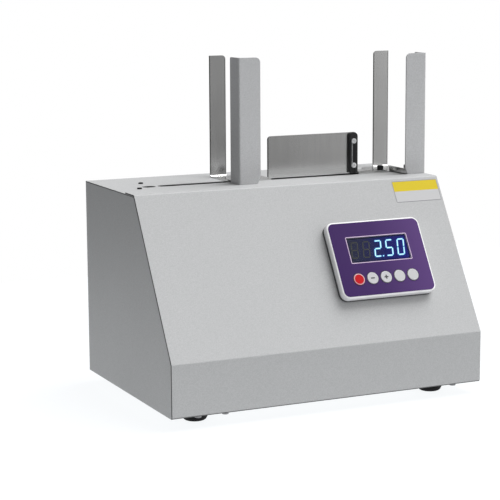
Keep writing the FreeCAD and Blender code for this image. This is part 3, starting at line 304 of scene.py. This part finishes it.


# a dim glow behind the window, greyer on the left and bluer towards the lit digits on the right: painted spill
# of their light
digitSpillGlow = {"left": 48.8 * mm, "right": 133.3 * mm, "strength": 1.0, "roughness": 0.45, "gloss": 0.1,
             "cloudScale": 55.0, "cloudShift": 0.12, "cloudSpread": 0.1,
             "stops": ((0.0, (0.014, 0.016, 0.028)), (0.30, (0.010, 0.011, 0.040)),
                       (0.55, (0.004, 0.006, 0.062)), (1.0, (0.006, 0.005, 0.110)))}


def displayBody(name, look):
    tree = Material(name)
    across = tree.along(acrossWay, look["left"], look["right"])
    cloud = tree.noise(look["cloudScale"], 2.0)
    glow = tree.ramp(across + (cloud - 0.5) * look["cloudShift"], *look["stops"])
    tree.set(Base_Color=glow, Emission_Color=glow, Emission_Strength=look["strength"],
             Roughness=look["roughness"] + cloud * look["cloudSpread"], Specular_IOR_Level=look["gloss"])
    return tree.material


# a finish for each material slot of the frame
materials = {
    "housing_paint": powderCoat("housingPaint", housingPaint),
    "post_paint": powderCoat("postPaint", postPaint),
    "stainless_sheet": satinSteel("satinStainless", sheetSteel),
    "zinc_steel": machined("zincPlate", (0.88, 0.89, 0.90), 0.24, metallic=0.4),
    "slider_steel": machined("groundSteel", (0.55, 0.55, 0.54), 0.22),
    "dark_steel": machined("blackOxide", (0.025, 0.025, 0.027), 0.38, metallic=0.6),
    "foot_rubber": moulded("footRubber", (0.005, 0.005, 0.006), 0.7, gloss=0.15),
    "roller_rubber": moulded("rollerRubber", (0.03, 0.03, 0.032), 0.7),
    "bezel_plastic": moulded("bezelPlastic", (0.89, 0.89, 0.90), 0.40, grain=0.01 * mm, gloss=0.4),
    "overlay_film": overlayFilm("overlayFilm", overlayPrintAndLight),
    "window_plastic": moulded("windowPlastic", (0.01, 0.012, 0.035), 0.08, grain=0.0, coating=0.2),
    "display_body": displayBody("displayBody", digitSpillGlow),
    "circuit_board": patterned("circuitBoard", boardTracks),
    "core_iron": machined("varnishedCore", (0.10, 0.10, 0.11), 0.45, metallic=0.7),
    "copper_winding": patterned("windingWrap", windingWrap),
    "black_plastic": moulded("blackPlastic", (0.018, 0.018, 0.019), 0.45, grain=0.015 * mm, gloss=0.4),
    "rocker_plastic": moulded("rockerPlastic", (0.012, 0.012, 0.013), 0.25, grain=0.01 * mm, coating=0.3),
    "motor_can": machined("motorCan", (0.5, 0.5, 0.52), 0.28),
    "tape_plastic": patterned("tapeRoll", tapeLayers),
    "gear_plastic": moulded("gearNylon", (0.72, 0.70, 0.64), 0.42),
    "gear_brass": machined("pinionBrass", (0.62, 0.42, 0.14), 0.26),
    "head_aluminium": machined("headAluminium", (0.72, 0.72, 0.73), 0.3),
    "red_button": moulded("redKey", (0.50, 0.004, 0.009), 0.40, grain=0.01 * mm, gloss=0.12),
    "grey_button": moulded("silverKey", (0.52, 0.52, 0.535), 0.38, grain=0.01 * mm, coating=0.1, gloss=0.4),
}

# some nodes have a finish of their own; this is how deep the painted shade on their edges reaches, and the
# rear posts' size
paintedEdgeShade = {"deckEdge": 0.8 * mm, "coverFoot": 1.4 * mm, "coverSide": 0.2 * mm}
rearPost = {"width": 22.5 * mm, "foot": 4 * mm}
coverLow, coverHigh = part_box("front_cover")
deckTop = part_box("deck_plate")[1].z


def ownFinishes():
    # painted shade on the deck's edges and slot walls, and on the cover's lower bend and its two sides
    deckEdges = ((upWay, deckTop - paintedEdgeShade["deckEdge"]),)
    coverEdges = ((upWay, coverLow.z + paintedEdgeShade["coverFoot"]),
                  (acrossWay, coverLow.x + paintedEdgeShade["coverSide"]),
                  ((-1.0, 0.0, 0.0), paintedEdgeShade["coverSide"] - coverHigh.x))
    left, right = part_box("left_guide_plate")[0].x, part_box("right_guide_plate")[1].x
    leftSides = ((left, 1), (left + rearPost["width"], -1))
    rightSides = ((right, -1), (right - rearPost["width"], 1))
    postFoot = deckTop + rearPost["foot"]
    fenceSides = ((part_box("fence_plate")[0].x, 1),)
    return {"deck_plate": powderCoat("deckPaint", housingPaint, deckEdges),
            "front_cover": powderCoat("coverPaint", housingPaint, coverEdges),
            "housing_screws": machined("dullZinc", (0.30, 0.30, 0.31), 0.42, metallic=0.5),
            "left_guide_plate": satinSteel("leftPostSteel", sheetSteel, leftSides, postFoot),
            "right_guide_plate": satinSteel("rightPostSteel", sheetSteel, rightSides, postFoot),
            "fence_plate": satinSteel("fenceSteel", sheetSteel, fenceSides)}


nodeSlot = {entry["node"]: entry["material_slot"] for entry in frame["record"]["subparts"]}
finishOf = {name: materials[slot] for name, slot in nodeSlot.items()}
finishOf.update(ownFinishes())
for name, item in nodes.items():
    item.data.materials.clear()
    item.data.materials.append(finishOf[name])
print("finishes made,", len(materials))


def newPiece(bm, name, material):
    mesh = bpy.data.meshes.new(name)
    bm.to_mesh(mesh)
    bm.free()
    piece = bpy.data.objects.new(name, mesh)
    bpy.context.scene.collection.objects.link(piece)
    mesh.materials.append(material)
    return piece


def finishMesh(bm, name, body, slot, material=None, replaces=None, sharp=35, wide=4 * mm):
    bmesh.ops.recalc_face_normals(bm, faces=bm.faces)
    for face in bm.faces:  # wide flat faces stay flat, so that their edges' rounding doesn't shade them
        face.smooth = face.calc_area() < wide * max(edge.calc_length() for edge in face.edges)
    for edge in bm.edges:
        edge.smooth = len(edge.link_faces) == 2 and edge.calc_face_angle(0) < math.radians(sharp)
    piece = newPiece(bm, name, material or materials[slot])
    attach(piece, body)
    if replaces:
        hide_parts(replaces)


# how far each piece's edges are broken, in millimetres; 0 only smooths its curves
brokenEdges = {"left_front_post": 0.35, "right_front_post": 0.35, "fence_plate": 0.2, "end_bar": 0.45,
               "front_cover": 0.0, "stop_button": 0.0, "minus_button": 0.0, "plus_button": 0.0,
               "mode_button": 0.0, "start_button": 0.0, "rubber_feet": 0.3, "left_clamp_screw": 0.3,
               "right_clamp_screw": 0.3, "end_bar_screws": 0.3, "deck_screws": 0.25,
               "housing_screws": 0.35, "left_guide_channel": 0.15, "right_guide_channel": 0.15,
               "power_rocker": 0.3, "door_pull": 0.7, "switch_frame": 0.3, "power_inlet": 0.3,
               "door_hinges": 0.2}
edgeWork = {"weld": 0.002 * mm, "flatWithin": 0.6, "brokenAbove": 40, "segments": 2}


def softened(node, width, **shading):
    bm = bmesh.new()
    bm.from_mesh(nodes[node].data)
    bmesh.ops.remove_doubles(bm, verts=bm.verts, dist=edgeWork["weld"])
    bmesh.ops.dissolve_limit(bm, angle_limit=math.radians(edgeWork["flatWithin"]), verts=bm.verts,
                             edges=bm.edges)
    if width:
        steep = math.radians(edgeWork["brokenAbove"])
        hard = [e for e in bm.edges if len(e.link_faces) == 2 and e.calc_face_angle(0) > steep]
        bmesh.ops.bevel(bm, geom=hard, offset=width, offset_type="OFFSET", segments=edgeWork["segments"],
                        profile=0.5, affect="EDGES", clamp_overlap=True, material=-1)
    finishMesh(bm, node + "Soft", nodes[node]["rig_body"], nodeSlot[node], finishOf[node], node, **shading)


for node, width in brokenEdges.items():
    softened(node, width * mm)
softened("panel_bezel", 0.0, sharp=100, wide=30 * mm)  # its walls shade into its rounded face
print("edges softened,", len(brokenEdges) + 1)


# what lies on the slope is made flat, in millimetres, with x across it, s up it and z out of it, then laid on
slope = {"run": 111.0 * mm, "rise": 184.9 * mm, "lip": 28.0 * mm}
slopeFoot = Vector((0, coverHigh.y - slope["lip"] - slope["run"], coverHigh.z - slope["rise"]))
upSlope = Vector((0, slope["run"], slope["rise"])).normalized()
outward = Vector((0, -slope["rise"], slope["run"])).normalized()
onSlope = Matrix(((1, upSlope.x, outward.x, slopeFoot.x), (0, upSlope.y, outward.y, slopeFoot.y),
                  (0, upSlope.z, outward.z, slopeFoot.z), (0, 0, 0, 1)))


def outline(bm, width, length, place, corner, segments):
    made = bmesh.ops.create_grid(bm, x_segments=1, y_segments=1, size=0.5)["verts"]
    bmesh.ops.scale(bm, vec=(width * mm, length * mm, 1.0), verts=made)
    bmesh.ops.translate(bm, vec=Vector(place) * mm, verts=made)
    bmesh.ops.bevel(bm, geom=made, offset=corner * mm, segments=segments, profile=0.5,
                    affect="VERTICES", material=-1)


def thickened(bm, faces, thickness):
    raised = bmesh.ops.extrude_face_region(bm, geom=faces)["geom"]
    top = [v for v in raised if isinstance(v, bmesh.types.BMVert)]
    bmesh.ops.translate(bm, vec=(0, 0, thickness * mm), verts=top)


def flatPiece(bm, size, place, corner, segments):
    width, length, thickness = size
    before = set(bm.faces)
    outline(bm, width, length, place, corner, segments)
    thickened(bm, [f for f in bm.faces if f not in before], thickness)


def rimPiece(size, place, corner, wall):
    width, length, thickness = size
    bm = bmesh.new()
    outline(bm, width, length, place, corner, segments=8)
    middle = list(bm.faces)
    bmesh.ops.inset_region(bm, faces=middle, thickness=wall * mm, use_even_offset=True, use_boundary=True)
    bmesh.ops.delete(bm, geom=middle, context="FACES")
    thickened(bm, bm.faces[:], thickness)
    bm.transform(onSlope)
    return bm


# a dark ring under the bezel's edge where shade falls round the bezel: painted shade
bezelShadeRim = {"x": 91.3, "s": 106.0, "width": 131.5, "length": 100.9, "high": 3.4, "corner": 9.75,
          "wall": 0.55, "colour": (0.07, 0.07, 0.075), "roughness": 0.7}


def bezelShadeRing():
    bm = rimPiece((bezelShadeRim["width"], bezelShadeRim["length"], bezelShadeRim["high"]), (bezelShadeRim["x"], bezelShadeRim["s"], 0.0),
                  bezelShadeRim["corner"], bezelShadeRim["wall"])
    shadeMaterial = moulded("bezelShadeMaterial", bezelShadeRim["colour"], bezelShadeRim["roughness"])
    finishMesh(bm, "bezelShadeRing", "housing", "bezel_plastic", shadeMaterial)


window = {"x": 91.0, "s": 117.8, "width": 84.5, "length": 33.4, "back": 11.85, "thickness": 0.5,
          "clearance": 0.1, "corner": 1.0, "tint": (0.01, 0.012, 0.03), "roughness": 0.10,
          "hazeScale": 60.0, "hazeSpread": 0.06, "alpha": 0.12, "gloss": 0.15}
windowPrint = {"width": 1.0, "corner": 1.8, "panelTop": 12.4, "thickness": 0.06,
               "colour": (0.60, 0.46, 0.64), "roughness": 0.4}


def displayWindow():
    bm = bmesh.new()
    size = (window["width"] - window["clearance"], window["length"] - window["clearance"], window["thickness"])
    flatPiece(bm, size, (window["x"], window["s"], window["back"]), window["corner"], segments=6)
    bm.transform(onSlope)
    tree = Material("clearWindow")
    haze = tree.noise(window["hazeScale"], 3.0)
    tree.set(Base_Color=window["tint"], Roughness=window["roughness"] + haze * window["hazeSpread"],
             Alpha=window["alpha"], Specular_IOR_Level=window["gloss"])
    finishMesh(bm, "displayWindow", "housing", "window_plastic", tree.material, "display_window")


def windowLine():
    out = 2 * windowPrint["width"]
    size = (window["width"] + out, window["length"] + out, windowPrint["thickness"])
    bm = rimPiece(size, (window["x"], window["s"], windowPrint["panelTop"]), windowPrint["corner"],
                  windowPrint["width"])
    ink = moulded("printedLine", windowPrint["colour"], windowPrint["roughness"], grain=0.0)
    finishMesh(bm, "windowLine", "housing", "overlay_film", ink)


digits = {"height": 22.4, "width": 10.6, "pitch": 16.3, "stroke": 2.0, "gap": 0.45, "lean": 0.17,
          "firstX": 57.4, "s": 117.8, "dotAfter": 2.42, "thickness": 0.06, "back": 11.2, "gloss": 0.1,
          "round": 0.42, "endCut": 0.35, "levelCut": 0.6}  # these three are shares of the stroke
segmentsOf = {"0": "abcdef", "2": "abdeg", "5": "acdfg", "8": "abcdefg", " ": ""}
# the layers of the reading: a dim halo, the lit stroke, its pale core, and the places that stay off, which
# keep a faint painted glow
layers = {
    "segmentHalo": {"reading": "  250", "dot": True, "stroke": 3.5, "lift": 0.02, "mottle": 90.0,
                    "tones": ((0.003, 0.020, 0.24), (0.006, 0.035, 0.34)), "body": (0.005, 0.008, 0.05),
                    "strength": 1.0, "roughness": 0.5},
    "litSegments": {"reading": "  250", "dot": True, "stroke": 2.0, "lift": 0.1, "mottle": 160.0,
                    "tones": ((0.12, 0.62, 1.0), (0.24, 0.78, 1.0)), "body": (0.05, 0.2, 0.3),
                    "strength": 1.1, "roughness": 0.4},
    "segmentCores": {"reading": "  250", "dot": True, "stroke": 1.0, "lift": 0.18, "mottle": 160.0,
                     "tones": ((0.70, 1.0, 1.0), (0.85, 1.0, 1.0)), "body": (0.2, 0.3, 0.3),
                     "strength": 1.15, "roughness": 0.4},
    # unlit segments: their own grey, with a faint painted glow
    "restingSegments": {"reading": "88   ", "dot": False, "stroke": 1.6, "lift": 0.02, "mottle": 160.0,
                        "tones": ((0.040, 0.042, 0.034), (0.052, 0.054, 0.044)), "strength": 0.5,
                        "roughness": 0.5},
}


def segmentPlaces():
    w, h = (digits["width"] - digits["stroke"]) / 2, (digits["height"] - digits["stroke"]) / 2
    return {"a": (0, h, True), "b": (w, h / 2, False), "c": (w, -h / 2, False), "d": (0, -h, True),
            "e": (-w, -h / 2, False), "f": (-w, h / 2, False), "g": (0, 0, True)}


def segmentSize(level, stroke):
    shortened = 2 * digits["gap"] + (1 + digits["endCut"]) * digits["stroke"] - stroke
    if level:
        return digits["width"] - shortened - digits["levelCut"] * digits["stroke"], stroke, digits["thickness"]
    return stroke, digits["height"] / 2 - shortened, digits["thickness"]


def segmentInk(name, look):
    tree = Material(name.rstrip("s"))
    glow = tree.blend(tree.noise(look["mottle"], 2.0), *look["tones"])
    tree.set(Base_Color=look.get("body", glow), Emission_Color=glow, Emission_Strength=look["strength"],
             Roughness=look["roughness"], Specular_IOR_Level=digits["gloss"])
    return tree.material


def displayDigits(name, look):
    bm = bmesh.new()
    places = segmentPlaces()
    stroke, n = look["stroke"], digits["back"] + look["lift"]
    for i, letter in enumerate(look["reading"]):
        for key in segmentsOf[letter]:
            x, s, level = places[key]
            place = (digits["firstX"] + i * digits["pitch"] + x, digits["s"] + s, n)
            flatPiece(bm, segmentSize(level, stroke), place, stroke * digits["round"], segments=2)
    if look["dot"]:
        place = (digits["firstX"] + digits["dotAfter"] * digits["pitch"],
                 digits["s"] - (digits["height"] - digits["stroke"]) / 2, n)
        flatPiece(bm, (stroke, stroke, digits["thickness"]), place, stroke * digits["round"], segments=3)
    lean = digits["lean"]
    leaning = Matrix(((1, lean, 0, -lean * digits["s"] * mm), (0, 1, 0, 0), (0, 0, 1, 0), (0, 0, 0, 1)))
    bm.transform(onSlope @ leaning)
    finishMesh(bm, name, "housing", "display_body", segmentInk(name, look))


# profiles are radius and height above the cover
keys = {"x": 90.3, "pitch": 19.0, "s": 79.3, "top": 13.1,
        "names": ("stop_button", "minus_button", "plus_button", "mode_button", "start_button"),
        "rim": ((6.0, 12.75), (7.4, 12.75), (7.25, 13.18), (7.0, 13.3), (6.3, 13.3)),
        "well": ((7.8, 12.3), (8.4, 12.3), (8.4, 12.46), (7.8, 12.46)),
        "redKeyRimHighlight": (0.66, 0.40, 0.44), "keyRimHighlight": (0.60, 0.595, 0.63),
        "wellShadeColour": (0.014, 0.007, 0.03), "steps": 48, "weld": 0.001}
keyMarks = {"minus_button": ("bar",), "plus_button": ("bar", "post")}
markStroke = {"bar": (5.4, 1.6, 0.05), "post": (1.6, 5.4, 0.05), "corner": 0.2, "colour": (0.02, 0.02, 0.025)}


def keyX(name):
    return keys["x"] + (keys["names"].index(name) - (len(keys["names"]) - 1) / 2) * keys["pitch"]


def turned(profile, x):
    bm = bmesh.new()
    verts = [bm.verts.new((radius * mm, 0, height * mm)) for radius, height in profile]
    edges = [bm.edges.new((verts[i - 1], verts[i])) for i in range(len(verts))]
    bmesh.ops.spin(bm, geom=verts + edges, cent=(0, 0, 0), axis=upWay, angle=2 * math.pi,
                   steps=keys["steps"], use_merge=True)
    bmesh.ops.remove_doubles(bm, verts=bm.verts, dist=keys["weld"] * mm)
    bmesh.ops.translate(bm, vec=(x * mm, keys["s"] * mm, 0), verts=bm.verts)
    bm.transform(onSlope)
    return bm


def keyMark(name, strokes, ink):
    bm = bmesh.new()
    for stroke in strokes:
        place = (keyX(name), keys["s"], keys["top"])
        flatPiece(bm, markStroke[stroke], place, markStroke["corner"], segments=2)
    bm.transform(onSlope)
    finishMesh(bm, name + "Mark", name, "grey_button", ink)


def roundKeys():
    # the rims are light rings on the key tops' edges: painted highlight, pink on the red key
    firstRim = moulded("pinkRimHighlight", keys["redKeyRimHighlight"], 0.38, grain=0.0, gloss=0.3)
    otherRim = moulded("silverRimHighlight", keys["keyRimHighlight"], 0.38, grain=0.0, gloss=0.3)
    # the wells are dark rings of painted shade in the gap round each key
    wellShade = moulded("wellShade", keys["wellShadeColour"], 0.6, grain=0.0)
    for name in keys["names"]:
        rim = firstRim if name == keys["names"][0] else otherRim
        finishMesh(turned(keys["rim"], keyX(name)), name + "Rim", name, "grey_button", rim)
        finishMesh(turned(keys["well"], keyX(name)), name + "Well", "housing", "overlay_film", wellShade)
    keyInk = moulded("keyInk", markStroke["colour"], 0.5, grain=0.0)
    for name, strokes in keyMarks.items():
        keyMark(name, strokes, keyInk)


sticker = {"left": 141.3, "right": 207.4, "bottom": 181.6, "top": 210.8, "split": 196.6, "corner": 1.2,
           "thickness": 0.12, "line": 0.7, "lineThickness": 0.03, "lineColour": (0.24, 0.24, 0.26),
           "upper": ((0.60, 0.46, 0.010), (0.66, 0.51, 0.014)),
           "lower": ((0.49, 0.49, 0.50), (0.53, 0.53, 0.54)),
           "inkScale": 900.0, "roughness": 0.45, "inkSpread": 0.06, "gloss": 0.2}


def stickerSheet():
    x, s = (sticker["right"] + sticker["left"]) / 2, (sticker["top"] + sticker["bottom"]) / 2
    width, length = sticker["right"] - sticker["left"], sticker["top"] - sticker["bottom"]
    bm = bmesh.new()
    flatPiece(bm, (width, length, sticker["thickness"]), (x, s, 0.0), sticker["corner"], segments=4)
    bm.transform(onSlope)
    tree = Material("stickerPrint")
    ink = tree.noise(sticker["inkScale"], 2.0)
    foot = slopeFoot.dot(upSlope)
    height = tree.along(tuple(upSlope), foot + sticker["bottom"] * mm, foot + sticker["top"] * mm)
    split = (sticker["split"] - sticker["bottom"]) / length
    colour = tree.blend(height > split, tree.blend(ink, *sticker["lower"]), tree.blend(ink, *sticker["upper"]))
    tree.set(Base_Color=colour, Roughness=sticker["roughness"] + ink * sticker["inkSpread"],
             Specular_IOR_Level=sticker["gloss"])
    finishMesh(bm, "blankSticker", "housing", "housing_paint", tree.material)
    bm = rimPiece((width, length, sticker["lineThickness"]), (x, s, sticker["thickness"]),
                  sticker["corner"], sticker["line"])
    outlineInk = moulded("outlineInk", sticker["lineColour"], sticker["roughness"], grain=0.0)
    finishMesh(bm, "stickerLine", "housing", "housing_paint", outlineInk)


# painted highlight: the strip stands in for the light caught by the bar's groove edge
barHighlight = {"width": 0.6 * mm, "thickness": 0.25 * mm, "besideScrews": 1.9 * mm, "shortBy": 5.6 * mm,
            "proud": 0.05 * mm, "rounding": 0.06 * mm}


# a bright strip set in the black bar between its two screws: painted highlight where the groove edge catches
# the light
def endBarHighlight():
    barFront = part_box("end_bar")[0].y
    low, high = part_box("end_bar_screws")
    size = (barHighlight["width"], barHighlight["thickness"], high.z - low.z - 2 * barHighlight["shortBy"])
    place = ((low.x + high.x) / 2 - barHighlight["besideScrews"],
             barFront + barHighlight["thickness"] / 2 - barHighlight["proud"], (low.z + high.z) / 2)
    bm = bmesh.new()
    bmesh.ops.create_cube(bm, size=1.0)
    bmesh.ops.scale(bm, vec=size, verts=bm.verts)
    bmesh.ops.bevel(bm, geom=bm.edges[:], offset=barHighlight["rounding"], segments=2, profile=0.5,
                    affect="EDGES", material=-1)
    bmesh.ops.translate(bm, vec=place, verts=bm.verts)
    finishMesh(bm, "endBarHighlight", nodes["end_bar"]["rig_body"], "zinc_steel")


bezelShadeRing()
endBarHighlight()
displayWindow()
windowLine()
for name, look in layers.items():
    displayDigits(name, look)
roundKeys()
stickerSheet()
print("panel dressed")


floorSheet = {"colour": (0.10, 0.10, 0.10), "halfSize": 0.85, "glow": 0.93, "glowTint": (0.965, 0.985, 1.0),
              "fibreScale": 300.0, "roughness": 0.8, "fibreSpread": 0.1, "gloss": 0.1}


def studioFloor():
    bm = bmesh.new()
    bmesh.ops.create_grid(bm, x_segments=1, y_segments=1, size=floorSheet["halfSize"])
    tree = Material("floorPaper")
    fibre = tree.noise(floorSheet["fibreScale"], 3.0)
    tree.set(Base_Color=floorSheet["colour"], Emission_Color=floorSheet["glowTint"],
             Roughness=floorSheet["roughness"] + (fibre - 0.5) * floorSheet["fibreSpread"],
             Emission_Strength=floorSheet["glow"], Specular_IOR_Level=floorSheet["gloss"])
    newPiece(bm, "floor", tree.material)


# soft boxes round the table; each fades along parts of the direction to it, shifted by half where a ramp
# has to start below 0
softBoxes = {
    "overhead": {"strength": 0.65, "z": ((0.35, 0.0), (0.95, 1.0))},
    "behind": {"strength": 0.4, "y": ((0.5, 0.0), (0.75, 1.0)), "x": ((0.0, 0.0), (0.2, 1.0)),
               "z": ((0.0, 0.0), (0.08, 1.0), (0.3, 1.0), (0.5, 0.0))},
    "right": {"strength": 1.3, "x": ((0.5, 0.0), (0.9, 1.0))},
    "front": {"strength": 0.53, "-y": ((0.4, 0.0), (0.8, 1.0)),
              "z": ((0.15, 0.0), (0.4, 1.0), (0.7, 1.0), (0.9, 0.0))},
    "steelCard": {"strength": 0.86, "x": ((0.25, 0.0), (0.62, 1.0)), "-y": ((0.5, 0.0), (0.7, 1.0)),
                  "z + half": ((0.2, 0.0), (0.52, 1.0), (0.75, 1.0), (0.95, 0.0))},
    "lowBehind": {"strength": 0.45, "y": ((0.5, 0.0), (0.8, 1.0)), "x + half": ((0.25, 0.0), (0.55, 1.0)),
                  "z + half": ((0.0, 0.0), (0.25, 1.0), (0.5, 1.0), (0.62, 0.0))},
}
dimRoom = 0.03  # what comes from everywhere else


def studioWorld():
    world = bpy.data.worlds.new("studio")
    bpy.context.scene.world = world
    world.use_nodes = True
    tree = Tree(world.node_tree, "Generated")
    x, y, z = (tree.node("ShaderNodeSeparateXYZ", {}, {"Vector": tree.place}, axis) for axis in "XYZ")
    ways = {"x": x, "y": y, "z": z, "-y": 0 - y, "x + half": x + 0.5, "z + half": z + 0.5}
    light = dimRoom
    for box in softBoxes.values():
        glow = box["strength"]
        for way, value in ways.items():
            if way in box:
                glow = glow * tree.ramp(value, *box[way])
        light = light + glow
    seen = tree.node("ShaderNodeLightPath", {}, {}, "Is Camera Ray")
    background = world.node_tree.nodes["Background"]
    tree.feed(background.inputs["Color"], (1, 1, 1))
    tree.feed(background.inputs["Strength"], light * (1 - seen) + seen)  # the backdrop itself is white


keyLight = {"strength": 3.03, "angle": 44.0, "aim": (-0.45, 0.1, -1.0)}


def keySun():
    light = bpy.data.lights.new("keySun", "SUN")
    light.energy = keyLight["strength"]
    light.angle = math.radians(keyLight["angle"])
    lamp = bpy.data.objects.new("keySun", light)
    lamp.rotation_euler = Vector(keyLight["aim"]).to_track_quat("-Z", "Y").to_euler()
    bpy.context.scene.collection.objects.link(lamp)


viewpoint = {"place": (-929.5, -1900.5, 531.2), "yaw": 25.07, "down": 9.50, "roll": 0.31, "lens": 121.5,
             "sensor": 36}


def camera():
    yaw, down, roll = (math.radians(viewpoint[k]) for k in ("yaw", "down", "roll"))
    forward = Vector((math.sin(yaw) * math.cos(down), math.cos(yaw) * math.cos(down), -math.sin(down)))
    right = Vector((math.cos(yaw), -math.sin(yaw), 0))
    up = right.cross(forward)
    across = right * math.cos(roll) - up * math.sin(roll)
    above = up * math.cos(roll) + right * math.sin(roll)
    turn = Matrix((across, above, -forward)).transposed().to_4x4()
    lens = bpy.data.cameras.new("camera")
    lens.lens = viewpoint["lens"]
    lens.sensor_width = viewpoint["sensor"]
    holder = bpy.data.objects.new("camera", lens)
    holder.matrix_world = Matrix.Translation(Vector(viewpoint["place"]) * mm) @ turn
    bpy.context.scene.collection.objects.link(holder)
    bpy.context.scene.camera = holder


studioFloor()
studioWorld()
keySun()
camera()
bpy.context.scene.view_settings.view_transform = "Standard"
print("studio set")
